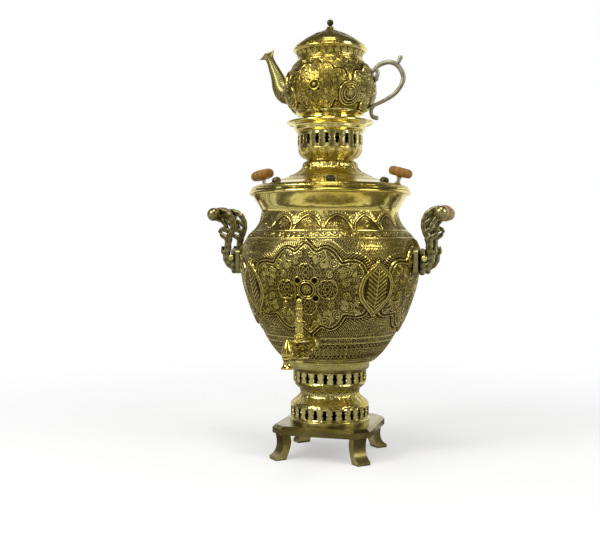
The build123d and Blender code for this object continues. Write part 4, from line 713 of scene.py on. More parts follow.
# %% The profile of the teapot and its skin
pot_z, pot_belly_z, pot_neck_z, pot_rim_z = 0.4839, 0.5179, 0.5654, 0.5779
pot_base_r, pot_belly_r, pot_neck_r, pot_rim_r, pot_bead_r = 0.0440, 0.0644, 0.0453, 0.0532, 0.0016
pot_wall = 0.0014
pot_lower = [
    (pot_base_r, pot_z), (0.0469, pot_z + 0.0043),
    (pot_belly_r, pot_belly_z - 0.0207), (pot_belly_r, pot_belly_z),
]
pot_upper = [
    (pot_belly_r, pot_belly_z), (pot_belly_r, pot_belly_z + 0.0328),
    (pot_neck_r, pot_neck_z - 0.0095), (pot_neck_r, pot_neck_z),
]
pot_flare = [
    (pot_neck_r, pot_neck_z),
    (pot_neck_r, pot_neck_z + 0.0044),
    (pot_neck_r + (pot_rim_r - pot_neck_r) * 0.45, pot_neck_z + 0.0075),
    (pot_rim_r - pot_bead_r, pot_rim_z - pot_bead_r),
]
pot_line = even_steps(join_curves(pot_lower, pot_upper, pot_flare), 0.2 * mm)
pot_scale, pot_relief, round_z, pot_turn = 0.53, 2.2 * mm, 0.5080, radians(5)
relief_of_pot = pot_relief - sunk * pot_scale
pot_medallion_z, pot_ground_z, pot_wave_z, tongue_z = pot_belly_z + 1 * mm, (0.4875, 0.5580), 0.5495, 0.5640
pot_wave_count, tongue_count = 22, 28
pot_lines = [(middle, 1.6, 0.8) for middle in (0.4868, 0.5590, 0.5627)]


def pot_state(angle, r, z):
    """What the dies leave at places on the teapot."""
    ground = between_heights(z, *pot_ground_z)
    state = bare(r, 0.16 * ground, ground)
    angle = angle + pot_turn
    state = strike_row(wave, angle, z, pot_wave_count, pot_wave_z, state)
    state = strike_shield(angle, r, z, pot_scale, pot_medallion_z, pot_relief, state, between=False)
    rise, dark, hatch, polish = state
    for n in range(4):
        turn = angle - n * pi / 2
        u, v = np.abs(r * np.sin(turn)) / pot_scale, np.abs(z - pot_medallion_z) / pot_scale
        inward = medallion.sample(u, v, depth + 0.02)[0] - 0.02
        near = (np.cos(turn) > 0.3) & (np.abs(inward) < 8 * mm) & (np.hypot(u, v) > 25 * mm)
        line = ridge(inward - 1.8 * mm, 4.2 * mm) * near
        rise = rise + 0.5 * mm * line
        shadow = ridge(inward + 2.4 * mm, 4.4 * mm) * near
        dark = np.clip(np.where(line > 0, dark * (1 - line), dark + 1.2 * shadow), 0, 1)
        polish = np.maximum(polish * (1 - shadow), line)
        centre = np.hypot(u, v) * pot_scale
        in_front = np.cos(turn) > 0.3
        ring = np.maximum(ridge(centre - 6.6 * mm, 2.0 * mm), ridge(centre - 1.2 * mm, 3.4 * mm)) * in_front
        hollow = (centre < 7.8 * mm) & in_front
        rise = np.where(hollow, 0.9 * mm * ring + relief_of_pot, rise)
        dark = np.where(hollow, 0.9 * (1 - ring), dark)
        polish = np.where(hollow, ring, polish)
    for n in range(4):
        turn = angle - pi / 4 - n * pi / 2
        u, v = np.abs(r * np.sin(turn)), np.abs(z - round_z)
        over = (np.cos(turn) > 0.3) & (np.hypot(u, v) < 17.6 * mm)
        up, d, h = rounds.sample(u, v)
        dome = 1.4 * mm * step_up(-np.hypot(u, v), -17.5 * mm, -14 * mm)
        rise, dark, hatch = np.where(over, dome + up, rise), np.where(over, d, dark), np.where(over, h, hatch)
        polish = np.where(over, np.clip(up / (0.9 * mm), 0, 1), polish)
    state = strike_lines(z, pot_lines, (rise, dark, hatch, polish))
    return strike_row(tongues, angle, z, tongue_count, tongue_z, state)


pot_rows = part_of_line(pot_line, pot_z, pot_rim_z - pot_bead_r * 1.5, 0.65 * mm)
pot_outer = np.vstack([pot_rows, bead_line(pot_rim_r, pot_rim_z, pot_bead_r)])
pot_inner = down_to_floor(inside_line(pot_rows, pot_wall, 14), pot_z, pot_wall, 0.5 * mm)
pot_skin = []
for side, start in (("front", 180), ("back", 0)):
    pot_skin.append(surface_mesh(
        f"teapot_{side}_skin", pot_outer, turn_angles(start, start + 180, 330, False), pot_state, pot_inner,
        False, "teapot",
    ))
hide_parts("teapot_body")
print(sum(len(piece.data.polygons) for piece in pot_skin), "faces on the teapot")

# %% [markdown]
# ## Thin skins
# A lid, a cup or a tap needs no new body, because its solid has the right shape already and only
# lacks its ornament. So a chased skin of 0.3 mm is laid a hair above the solid, along the same
# profile, and everything else of the solid stays in view.

# %% Thin chased skins over the plain solids
skin_up, skin_thick = 0.15 * mm, 0.3 * mm


def lay_skin(name, line, step, count, state_of, body, axis=(0, 0)):
    """A chased skin a hair above a turned surface whose profile is given."""
    rows = even_steps(np.array(line), step)
    rows = rows + skin_up * normals_of(rows)
    inner = inside_line(rows, skin_thick, len(rows) // 6)
    return surface_mesh(name, rows, turn_angles(0, 360, count, True), state_of, inner, True, body, axis)


lid_z, lid_top_z, throat_r, collar_r, throat_z = 0.3763, 0.4223, 0.0388, 0.0330, 0.4123
lid_edge_r, shoulder_r, shoulder_z, cone_in_r, cone_in_z = 0.1132, 0.1020, 0.3843, 0.0800, 0.3902
lid_edge_line = cubic([
    (lid_edge_r, lid_z + 2 * mm), (lid_edge_r - 4 * mm, lid_z + 6 * mm),
    (0.1060, 0.3832), (shoulder_r, shoulder_z),
], 20)
lid_cone = [(cone_in_r, cone_in_z), (0.0580, 0.3961), (throat_r, throat_z - 8 * mm), (throat_r, throat_z)]
lid_throat = [
    (throat_r, throat_z), (throat_r, throat_z + 5 * mm),
    (collar_r, lid_top_z - 5 * mm), (collar_r, lid_top_z),
]
lid_line = np.vstack([cubic(lid_cone, 40), cubic(lid_throat, 20)[1:]])
# Rings: radius or height in metres, then width and rise in millimetres
lid_rings = [
    (0.1105, 2.6, 1.0), (0.1066, 2.2, 0.9), (0.1030, 1.8, 0.7), (0.0782, 1.6, 0.5), (0.0590, 1.6, 0.5),
]
lid_flame_z, lid_flame_count = 0.3965, 10


def lid_state(angle, r, z):
    """Rings at the edge, flames that climb the neck, and a faint ground on the cone."""
    faint = step_up(r, 0.056, 0.060) * (1 - step_up(r, 0.076, 0.079))
    state = bare(r, 0.10 * faint, 0.55 * faint)
    state = strike_row(flame, angle, z, lid_flame_count, lid_flame_z, state, 1.5)
    state = strike_lines(r, lid_rings, state)
    return strike_lines(z, [(lid_top_z - 2 * mm, 1.6, 0.7)], state)


pot_lid_edge_r, pot_lid_low_z, pot_lid_top_z = 0.0506, 0.5796, 0.6092
pot_lid_dome = [(pot_lid_edge_r, pot_lid_low_z), (0.0400, 0.5889), (0.0253, 0.5976), (0.0140, 0.6017)]
pot_lid_tip = [(0.0140, 0.6017), (0.0103, 0.6031), (0.0046, 0.6062), (0.0046, pot_lid_top_z)]
pot_lid_line = np.vstack([cubic(pot_lid_dome, 40), cubic(pot_lid_tip, 16)[1:]])
pot_lid_rings = [(0.0485, 2.2, 1.0), (0.0445, 1.8, 0.8), (0.0405, 1.4, 0.6), (0.0120, 1.4, 0.5)]


def pot_lid_state(angle, r, z):
    """Rings at the edge and flames that climb towards the top."""
    state = bare(r, 0.2, 0.4 * (1 - step_up(r, 0.039, 0.041)))
    state = strike_row(flame, angle, 0.042 - r, 12, 1.5 * mm, state)
    return strike_lines(r, pot_lid_rings, state)


crown_r, cup_top_z, flute_count = 0.0455, 0.4371, 22
cup_line = cubic([(collar_r, 0.4226), (0.0390, 0.4232), (crown_r, 0.4276), (crown_r, cup_top_z)], 30)


def cup_state(angle, r, z):
    """Upright flutes under one ring."""
    flute = ridge((angle / (2 * pi) * flute_count % 1) - 0.5, 0.8)
    state = (0.4 * mm * flute, 0.35 * (1 - flute), np.full_like(r, 0.4), 0.5 * flute)
    return strike_lines(z, [(cup_top_z - 1.3 * mm, 1.8, 0.7)], state)


waist_r, waist_low_r, waist_top_r = 0.0415, 0.0555, 0.0518
waist_low_z, waist_middle_z, waist_top_z = 0.072, 0.090, 0.106
waist_line = join_curves(
    [(waist_low_r, waist_low_z), (waist_low_r, 0.078), (waist_r, 0.081), (waist_r, waist_middle_z)],
    [(waist_r, waist_middle_z), (waist_r, 0.098), (waist_top_r, 0.1007), (waist_top_r, waist_top_z)],
)


def waist_state(angle, r, z):
    """Flames that climb the waist, between rings."""
    state = strike_row(flame, angle, z, 11, waist_low_z + 1.5 * mm, bare(r, 0.3, 0.5), 1.3)
    return strike_lines(z, [(middle, 2.0, 0.9) for middle in (0.0730, 0.0985, 0.1010, 0.1045)], state)


barrel_y = -0.156
barrel_line = [(0.0090, 0.1543), (0.0122, 0.1570), (0.0126, 0.1660), (0.0122, 0.1765), (0.0098, 0.1795)]
key_line = cubic([(0.0052, 0.1812), (0.0044, 0.1930), (0.0046, 0.2060), (0.0040, 0.2225)], 30)
key_rings = [
    (0.1835, 4.2, 1.6), (0.1870, 2.4, 0.8), (0.2035, 3.0, 1.1), (0.2070, 2.0, 0.7), (0.2195, 3.2, 1.3),
]


def barrel_state(angle, r, z):
    """Two rows of running scrolls on a black ground."""
    state = bare(r, 0.95)
    for base in (0.1578, 0.1670):
        state = strike_row(wave, angle, z, 5, base, state, 1.2)
    rise, dark, hatch, polish = state
    return rise, np.clip(dark * 1.5, 0, 1), hatch, polish * 0.8


def key_state(angle, r, z):
    """The turned rings of the key."""
    return strike_lines(z, key_rings, bare(r))


chased_skins = [
    lay_skin("lid_edge_skin", lid_edge_line, 0.6 * mm, 320, lid_state, "lid"),
    lay_skin("lid_neck_skin", lid_line, 0.8 * mm, 380, lid_state, "lid"),
    lay_skin("teapot_lid_skin", pot_lid_line, 0.75 * mm, 330, pot_lid_state, "teapot_lid"),
    lay_skin("crown_cup_skin", cup_line, 0.7 * mm, 300, cup_state, "crown"),
    lay_skin("waist_skin", waist_line, 0.75 * mm, 380, waist_state, "urn"),
    lay_skin("tap_barrel_skin", barrel_line, 0.5 * mm, 160, barrel_state, "urn", (0, barrel_y)),
    lay_skin("tap_key_skin", key_line, 0.4 * mm, 60, key_state, "tap_key", (0, barrel_y)),
]
print(sum(len(piece.data.polygons) for piece in chased_skins), "faces on", len(chased_skins), "small skins")

# %% [markdown]
# ## Scrolls, strap and spout
# The handle arms and the teapot's strap are cast bars that follow a flat course, and its spout is
# a tube that does. Each course is a few points, and each point carries half the width there. The
# bars swell and thin as a caster would model them in wax, and their ends are rounded.

# %% Bars that follow a course
def through(points, steps=12):
    """A smooth course through points (Catmull-Rom); all columns are carried along."""
    points = np.array(points, float)
    padded = np.vstack([2 * points[0] - points[1], points, 2 * points[-1] - points[-2]])
    found = []
    for a, b, c, d in zip(padded[:-3], padded[1:-2], padded[2:-1], padded[3:]):
        t = np.linspace(0, 1, steps, endpoint=False)[:, None]
        squared, cubed = 2 * a - 5 * b + 4 * c - d, 3 * b - a - 3 * c + d
        found.append(0.5 * (2 * b + (c - a) * t + squared * t**2 + cubed * t**3))
    return np.vstack(found + [points[-1:]])


def swept(course, y, half_thick, step=1.0 * mm, sides=16, swell=None, patina_and_shade=None):
    """A bar with an oval section along a course of (x, z, half width): points, faces, and patina with painted
    shade.
    """
    line = even_steps(through(course), step)
    tangent = np.gradient(line[:, :2], axis=0)
    tangent /= np.linalg.norm(tangent, axis=1, keepdims=True)
    end_turns = np.radians([8, 30, 55, 75])  # the rounded ends, ring by ring
    ends, lean = np.sin(end_turns), np.cos(end_turns)
    half = line[:, 2]
    scale = np.concatenate([ends, np.ones(len(line)), ends[::-1]])
    middle = np.vstack([
        line[:1, :2] - tangent[:1] * (half[0] * lean)[:, None],
        line[:, :2],
        line[-1:, :2] + tangent[-1:] * (half[-1] * lean[::-1])[:, None],
    ])
    half = np.concatenate([np.full(4, half[0]), half, np.full(4, half[-1])]) * scale
    tangent = np.vstack([np.repeat(tangent[:1], 4, 0), tangent, np.repeat(tangent[-1:], 4, 0)])
    across = np.stack([-tangent[:, 1], tangent[:, 0]], 1)
    turn = np.linspace(0, 2 * pi, sides, endpoint=False)
    run = np.arange(len(middle)) * step
    lump = 1 if swell is None else 1 + swell(run[:, None], turn[None, :])
    out = half[:, None] * np.cos(turn) * lump
    deep = scale[:, None] * half_thick * np.sin(turn) * lump
    x = middle[:, :1] + across[:, :1] * out
    z = middle[:, 1:] + across[:, 1:] * out
    points = np.stack([x, y + deep, z], -1).reshape(-1, 3)
    index = np.arange(len(points)).reshape(len(middle), sides)
    nxt = np.roll(index, -1, axis=1)
    faces = np.stack([index[:-1], index[1:], nxt[1:], nxt[:-1]], -1).reshape(-1, 4).tolist()
    dark = np.zeros(len(middle) * sides) if patina_and_shade is None else patina_and_shade(run[:, None], turn[None, :]).ravel()
    return points, faces + [index[0].tolist(), index[-1][::-1].tolist()], dark


def bar_piece(name, bars, body, mirror_x=False):
    """Join bars into one piece; a left-hand piece is the right-hand one turned over."""
    points, faces = [], []
    for bar_points, bar_faces, _ in bars:
        start = len(points)
        points += (bar_points * ((-1, 1, 1) if mirror_x else (1, 1, 1))).tolist()
        faces += [[start + n for n in (face[::-1] if mirror_x else face)] for face in bar_faces]
    mesh = bpy.data.meshes.new(name)
    mesh.from_pydata(points, [], faces)
    mesh.polygons.foreach_set("use_smooth", [True] * len(mesh.polygons))
    dark = np.concatenate([bar[2] for bar in bars]).astype(np.float32)
    mesh.attributes.new("dark", "FLOAT", "POINT").data.foreach_set("value", dark)
    bm = bmesh.new()
    bm.from_mesh(mesh)
    bmesh.ops.recalc_face_normals(bm, faces=bm.faces)
    bm.to_mesh(mesh)
    bm.free()
    mesh.update()
    obj = placed(name, mesh)
    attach(obj, body)
    return obj


def in_mm(*points):
    """Points written in millimetres, as metres."""
    return [tuple(value * mm for value in point) for point in points]


print("a smooth course through 3 points has", len(through([(0, 0), (1, 1), (2, 0)])), "points")

# %% Handle arms
lobe_length = 9 * mm


def leafy(run, turn):
    """Shallow lobes along a bar, and a groove down its faces."""
    return 0.05 * np.cos(2 * pi * run / lobe_length) - 0.22 * np.abs(np.sin(turn)) ** 10


def groove_patina_and_shade(run, turn):
    """Patina and painted shade in the groove, and between the lobes."""
    return np.clip(np.abs(np.sin(turn)) ** 6 * (0.8 + 0.3 * np.cos(2 * pi * run / lobe_length)), 0, 1)


arm_courses = [
    # x, z and half width along each stroke, in millimetres
    [(136.8, 263.0, 4.4), (137.0, 277, 5.0), (136.8, 291, 4.6)],
    [(140, 268, 4.0), (146.0, 274.5, 5.4), (149.0, 285, 5.6), (147, 297, 4.8)],
    [(147, 292, 5.2), (145.6, 307, 5.2), (142.5, 316, 4.4)],
    [
        (143.5, 312, 4.6), (139.0, 322, 3.9), (138.8, 333, 4.0),
        (144.5, 343.5, 4.3), (154, 349.2, 4.2), (163, 350.0, 4.0),
    ],
    [(143, 308, 3.6), (150, 311, 4.2), (156.0, 314.6, 3.0), (157.6, 318.6, 1.2)],
    [(141, 317, 3.6), (149, 322, 4.2), (156.5, 322.2, 3.0), (160.0, 318.6, 1.2)],
    [(147, 321, 2.8), (151.5, 331, 3.4), (159, 339.5, 3.4)],
    [(139.5, 326, 2.4), (144, 332, 3.2), (150, 336.5, 1.6)],
    [(149, 286, 2.8), (154.2, 290.5, 2.8), (154.4, 297, 1.3)],
]
eye_angles = np.radians(np.arange(0, 361, 30))
eye_ring = [(164 + 6.2 * cos(a), 344 + 6.2 * sin(a), 3.0) for a in eye_angles]
arm_bars = [(course, 4.4) for course in arm_courses] + [(eye_ring, 4.0)]
handle_arms = []
for side in ("left", "right"):
    for place, y in (("front", -25), ("back", 25)):
        bars = [
            swept(in_mm(*course), y * mm, half_thick * mm, swell=leafy, patina_and_shade=groove_patina_and_shade)
            for course, half_thick in arm_bars
        ]
        arm = bar_piece(f"arm_{side}_{place}_cast", bars, "urn", mirror_x=side == "left")
        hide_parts(f"handle_arm_{side}_{place}")
        handle_arms.append(arm)
print(len(handle_arms), "arms of", len(arm_bars), "bars each")

# %% Strap handle and spout of the teapot
strap_course = [
    (59.5, 540, 2.2), (64, 546, 2.8), (72.5, 552.7, 3.2), (85.5, 555.5, 3.3), (97.3, 549.9, 3.4),
    (104.8, 536.8, 3.4), (103.4, 525, 3.3), (94.4, 512.4, 3.0), (81, 503.8, 2.8), (64.8, 496.7, 2.6),
    (58, 493, 2.4),
]
strap_curls = [
    [(66, 547, 2.8), (68.8, 541, 2.8), (66.4, 532.5, 3.4)],
    [(64, 497, 2.6), (59.6, 489, 2.6), (61.5, 481, 2.8), (67, 478.6, 3.4)],
    [(93, 552.5, 2.6), (98, 554.5, 2.6), (101, 561, 3.4)],
]


def chased_dots(run, turn):
    """Small nail-head dots along a bar."""
    return 0.09 * np.cos(2 * pi * run / (3.0 * mm)) * np.cos(3 * turn)


def round_dots(run, turn):
    """Patina and painted shade round the dots."""
    return np.clip(0.3 - chased_dots(run, turn) / 0.15, 0, 1)


strap_bars = [
    swept(in_mm(*course), 0, 2.9 * mm, 0.7 * mm, swell=chased_dots, patina_and_shade=round_dots)
    for course in [strap_course] + strap_curls
]
strap = bar_piece("teapot_strap_chased", strap_bars, "teapot")
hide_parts("teapot_handle")


spout_course = [
    # out from the axis, height and radius of the spout, in millimetres
    (61.5, 518, 15.5), (68, 520.5, 14.6), (74, 528.5, 12.2), (78.2, 541, 9.8), (83.5, 553, 7.6),
    (88, 563.5, 6.0), (90.8, 570, 5.8),
]


def beaked_tube(course, thick, sides=36, step=0.8 * mm):
    """A tube whose far end parts into a low beak and a raised crest: points, faces and patina."""
    line = even_steps(through(in_mm(*course)), step)
    tangent = np.gradient(line[:, :2], axis=0)
    tangent /= np.linalg.norm(tangent, axis=1, keepdims=True)
    across = np.stack([-tangent[:, 1], tangent[:, 0]], 1)
    turn = np.linspace(0, 2 * pi, sides, endpoint=False)
    run = np.arange(len(line))[:, None] * step
    scaly = np.cos(2 * pi * run / (3.2 * mm)) * np.cos(5 * turn)
    scales = 0.5 * mm * scaly + 0.45 * mm * np.cos(2 * turn) ** 8
    low_lip, crest = np.clip(-np.cos(turn), 0, 1) ** 2.2, np.clip(np.cos(turn), 0, 1) ** 2.2
    cheek = np.abs(np.sin(turn)) ** 3
    last, lip_rows = len(line) - 1, 10
    walls = []
    for shrink, cut in ((0, scales), (thick, 0 * scales)):
        half = line[:, 2:] - shrink + cut * np.clip(line[:, 2:] / (12 * mm), 0, 1)
        out = line[:, :1] + across[:, :1] * half * np.cos(turn)
        high = line[:, 1:2] + across[:, 1:] * half * np.cos(turn)
        deep = 0.88 * half * np.sin(turn)
        for part in np.linspace(1 / lip_rows, 1, lip_rows):
            go_out = 11.5 * part * low_lip - 1.5 * part * crest + 4.5 * part * cheek
            go_up = (3.4 * part - 2.8 * part**2) * low_lip + 11 * part * crest + 6.5 * part * cheek
            widen = 1 + 0.3 * part * cheek - 0.5 * part * (low_lip + crest)
            out = np.vstack([out, out[last] + go_out * mm])
            high = np.vstack([high, high[last] + go_up * mm])
            deep = np.vstack([deep, deep[last] * widen])
        walls.append(np.stack([-out, deep, high], -1))
    rings = np.concatenate([walls[0], walls[1][::-1]])
    index = np.arange(rings.shape[0] * sides).reshape(-1, sides)
    below, nxt = np.roll(index, -1, axis=0), np.roll(index, -1, axis=1)
    faces = np.stack([index, below, np.roll(below, -1, axis=1), nxt], -1).reshape(-1, 4)
    band = step_up(np.abs(np.sin(turn)), 0.55, 0.62)
    edge_line = ridge(np.abs(np.sin(turn)) - 0.52, 0.22)
    dark = np.clip(band * (0.45 - 0.9 * scaly) + edge_line, 0, 1)
    lip_dark, inner_dark = np.full((lip_rows, sides), 0.15), np.full((len(line) + lip_rows, sides), 0.5)
    whole = np.concatenate([dark, lip_dark, inner_dark])
    return rings.reshape(-1, 3), faces.tolist(), whole.ravel()


beak = bar_piece("teapot_beak_chased", [beaked_tube(spout_course, 1.1 * mm)], "teapot")
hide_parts("teapot_spout")
print("strap and beak:", len(strap.data.polygons) + len(beak.data.polygons), "faces")

# %% [markdown]
# ## Pierced galleries
# Three galleries let air in and heat out through rings of baluster-shaped slots. One panel
# reaches from one slot to the next, with a raised lip along both slots. Geometry Nodes repeat
# it round the axis, so only one panel is drawn for each gallery.

# %% One panel between two slots
slot_half, bar_half, neck_half, eye_r, eye_end = 6.7 * mm, 2.6 * mm, 1.8 * mm, 3.3 * mm, 2.77 * mm
panel_up, panel_thick = 0.15 * mm, 0.6 * mm


def slot_edge(v):
    """Half the width of a slot at height v from its middle."""
    v = abs(v)
    if v > slot_half:
        return 0
    if v > 3.3 * mm:
        return bar_half - 0.7 * mm * (v > slot_half - 0.3 * mm)
    return neck_half if v > eye_end else (eye_r**2 - v * v) ** 0.5


def panel_points(radius, low, high, middle_z, count):
    """The outer and the inner side of a panel, row by row."""
    half_cell = pi * radius / count
    inside = [-slot_half, -slot_half + 0.3 * mm, -5 * mm, -3.4 * mm, -3.3 * mm, -3.0 * mm]
    inside += list(np.linspace(-eye_end, eye_end, 13)) + [-v for v in reversed(inside)]
    rows = [(low, 0), (middle_z - slot_half - 0.9 * mm, 0), (middle_z - slot_half - 0.02 * mm, 0)]
    rows += [(middle_z + v, slot_edge(v)) for v in inside]
    rows += [(middle_z + slot_half + 0.02 * mm, 0), (middle_z + slot_half + 0.9 * mm, 0), (high, 0)]
    lip = np.array([0, 0.35, 0.7, 1.05, 1.4]) * mm
    lip_up = np.array([0.1, 0.5, 0.6, 0.4, 0]) * mm
    points = []
    for z, edge_at in rows:
        side = edge_at + lip
        far_side = 2 * half_cell - side[::-1]
        u = np.concatenate([side, np.linspace(side[-1], far_side[0], 6)[1:-1], far_side])
        up = np.concatenate([lip_up, np.zeros(4), lip_up[::-1]]) if edge_at else np.zeros(len(u))
        if abs(abs(z - middle_z) - slot_half - 0.9 * mm) < 0.1 * mm:
            up = up + 0.5 * mm * (np.minimum(u, 2 * half_cell - u) < bar_half + 1 * mm)
        outer = radius + panel_up + up
        turn = u / radius
        ring = np.stack([outer * np.cos(turn), outer * np.sin(turn), z + 0 * u], 1)
        back = radius + panel_up - panel_thick
        far = np.stack([back * np.cos(turn), back * np.sin(turn), z + 0 * u], 1)[::-1]
        points.append(np.concatenate([ring, far]))
    return np.array(points)


def panel_template(name, *sizes):
    """One panel as an object, for Geometry Nodes to repeat."""
    points = panel_points(*sizes)
    rows, around = points.shape[:2]
    index = np.arange(rows * around).reshape(rows, around)
    nxt = np.roll(index, -1, axis=1)
    faces = np.stack([index[:-1], nxt[:-1], nxt[1:], index[1:]], -1).reshape(-1, 4).tolist()
    mesh = bpy.data.meshes.new(name)
    ends = [index[0][::-1].tolist(), index[-1].tolist()]
    mesh.from_pydata(points.reshape(-1, 3).tolist(), [], faces + ends)
    mesh.update()
    return placed(name, mesh)


print("a slot is", round(2 * slot_half / mm, 1), "mm high and", round(2 * eye_r / mm, 1), "mm across its eye")

# %% Repeat it round the axis with Geometry Nodes
def ring_of_copies(name, template, copies, first_turn, material):
    """A plain mesh: the template turned about Z, again and again."""
    tree = bpy.data.node_groups.new(f"{name}_ring", "GeometryNodeTree")
    sockets = {}
    for label, kind in (("Template", "Object"), ("Copies", "Int"), ("First turn", "Float")):
        sockets[label] = tree.interface.new_socket(label, in_out="INPUT", socket_type=f"NodeSocket{kind}")
    tree.interface.new_socket("Geometry", in_out="OUTPUT", socket_type="NodeSocketGeometry")

    def node(kind, **settings):
        made = tree.nodes.new(kind)
        for label, value in settings.items():
            setattr(made, label, value)
        return made

    given, result = node("NodeGroupInput"), node("NodeGroupOutput")
    points = node("GeometryNodeMeshLine")
    points.inputs["Offset"].default_value = (0, 0, 0)
    source = node("GeometryNodeObjectInfo")
    share = node("ShaderNodeMath", operation="DIVIDE")
    share.inputs[0].default_value = 2 * pi
    turn = node("ShaderNodeMath", operation="MULTIPLY_ADD")
    rotation = node("ShaderNodeCombineXYZ")
    place, realize = node("GeometryNodeInstanceOnPoints"), node("GeometryNodeRealizeInstances")
    dress = node("GeometryNodeSetMaterial")
    dress.inputs["Material"].default_value = material
    for start, end in (
        (given.outputs["Copies"], points.inputs["Count"]),
        (given.outputs["Copies"], share.inputs[1]),
        (given.outputs["Template"], source.inputs["Object"]),
        (node("GeometryNodeInputIndex").outputs[0], turn.inputs[0]),
        (share.outputs[0], turn.inputs[1]),
        (given.outputs["First turn"], turn.inputs[2]),
        (turn.outputs[0], rotation.inputs["Z"]),
        (points.outputs["Mesh"], place.inputs["Points"]),
        (source.outputs["Geometry"], place.inputs["Instance"]),
        (rotation.outputs[0], place.inputs["Rotation"]),
        (place.outputs[0], realize.inputs[0]),
        (realize.outputs[0], dress.inputs["Geometry"]),
        (dress.outputs[0], result.inputs["Geometry"]),
    ):
        tree.links.new(start, end)
    carrier = placed(name, bpy.data.meshes.new(f"{name}_empty"))
    ring = carrier.modifiers.new("ring", "NODES")
    ring.node_group = tree
    for label, value in (("Template", template), ("Copies", copies), ("First turn", first_turn)):
        ring[sockets[label].identifier] = value
    made = bpy.data.meshes.new_from_object(carrier.evaluated_get(bpy.context.evaluated_depsgraph_get()))
    carrier.modifiers.clear()
    carrier.data = made
    bpy.data.objects.remove(template)
    return carrier


# %% [markdown]
# ## Crown dish and knob stems
# The dish on the crown is spun, so it is one more turned line. Each lid knob stands on a waisted
# stem.

# %% Turn the dish and the stems
crown_dish_z, crown_step_r, crown_step_z = 0.4596, 0.0505, 0.4661
crown_top_z, crown_bead_r, crown_bead_out = 0.4751, 0.0018, 0.0608
dish_foot = [
    (crown_r, crown_dish_z), (crown_step_r - 0.8 * mm, crown_dish_z + 2.4 * mm), (crown_step_r, crown_step_z),
]
under_bead_z = crown_top_z - crown_bead_r
dish_side = [
    (crown_step_r, crown_step_z), (crown_step_r, crown_step_z + 4.5 * mm),
    (crown_bead_out - 5 * mm, under_bead_z), (crown_bead_out - 0.8 * mm, under_bead_z - 0.4 * mm),
]
dish_line = np.vstack([bow(*dish_foot), cubic(dish_side, 30)[1:]])


def dish_state(angle, r, z):
    """A fine ring at the foot of the dish and one at its step."""
    return strike_lines(z, [(0.4602, 1.3, 0.5), (0.4662, 1.3, 0.5)], bare(r))


dish_skin = lay_skin("crown_dish_skin", dish_line, 0.5 * mm, 360, dish_state, "crown")
stem_course = [
    (97.6, 385.9, 4.2), (98.1, 387.8, 3.0), (98.9, 390.6, 2.9), (99.7, 393.6, 3.2), (100.1, 395.2, 4.2),
]
stem_skins = []
for side in ("left", "right"):
    stem = [swept(in_mm(*stem_course), 0, 3.3 * mm, 0.6 * mm)]
    stem_skins.append(bar_piece(f"knob_stem_{side}_turned", stem, "lid", mirror_x=side == "left"))
print("dish:", len(dish_skin.data.polygons), "faces, stems:", len(stem_skins))

# %% [markdown]
# ## Brass, in four tempers
# Sheet brass here is greenish yellow where it is polished and nearly black in the depths, where
# soot and old polish have settled and where the colour also paints the shade that falls there. So
# each brass finish is bright metal, dark patina with painted shade, and a mask between them. On the
# embossed skins the mask comes from the dies, and on castings and spun sheet it comes from how
# closed in each place is, which the Ambient Occlusion node measures.

# %% Shader maths as plain expressions
class Wire:
    """A value that varies over a surface; + - * / add Math nodes."""

    def __init__(self, finish, socket):
        self.finish, self.socket = finish, socket

    def math(self, operation, *values, clamp=False):
        settings = {"operation": operation, "use_clamp": clamp}
        return self.finish.node("ShaderNodeMath", settings, dict(enumerate(values)))

    def __add__(self, other):
        return self.math("ADD", self, other)

    __radd__ = __add__

    def __sub__(self, other):
        return self.math("SUBTRACT", self, other)

    def __rsub__(self, other):
        return self.math("SUBTRACT", other, self)

    def __mul__(self, other):
        return self.math("MULTIPLY", self, other)

    __rmul__ = __mul__

    def __truediv__(self, other):
        return self.math("DIVIDE", self, other)

    def clamped(self):
        return self.math("ADD", self, 0.0, clamp=True)

    def most(self, other):
        return self.math("MAXIMUM", self, other)

    def size(self):
        """The value without its sign."""
        return self.math("ABSOLUTE", self)

    def root(self):
        return self.math("SQRT", self)

    def rest(self):
        """What is left after the whole number."""
        return self.math("FRACT", self)

    def zigzag(self, width):
        return self.math("PINGPONG", self, width)

    def rising(self, low, high, out_low=0.0, out_high=1.0):
        """A smooth step from out_low to out_high between low and high."""
        sockets = {"Value": self, "From Min": low, "From Max": high, "To Min": out_low, "To Max": out_high}
        return self.finish.node("ShaderNodeMapRange", {"interpolation_type": "SMOOTHSTEP"}, sockets)


class Nodes:
    """A node tree that grows by one call for each node."""

    def __init__(self, tree):
        self.tree = tree

    def put(self, socket, value):
        if isinstance(value, Wire):
            self.tree.links.new(value.socket, socket)
        else:
            socket.default_value = value

    def node(self, kind, settings=None, sockets=None, out=0):
        """Add one node: its settings first, then the values or links of its sockets."""
        made = self.tree.nodes.new(kind)
        for label, value in (settings or {}).items():
            setattr(made, label, value)
        for label, value in (sockets or {}).items():
            self.put(made.inputs[label], value)
        return Wire(self, made.outputs[out])


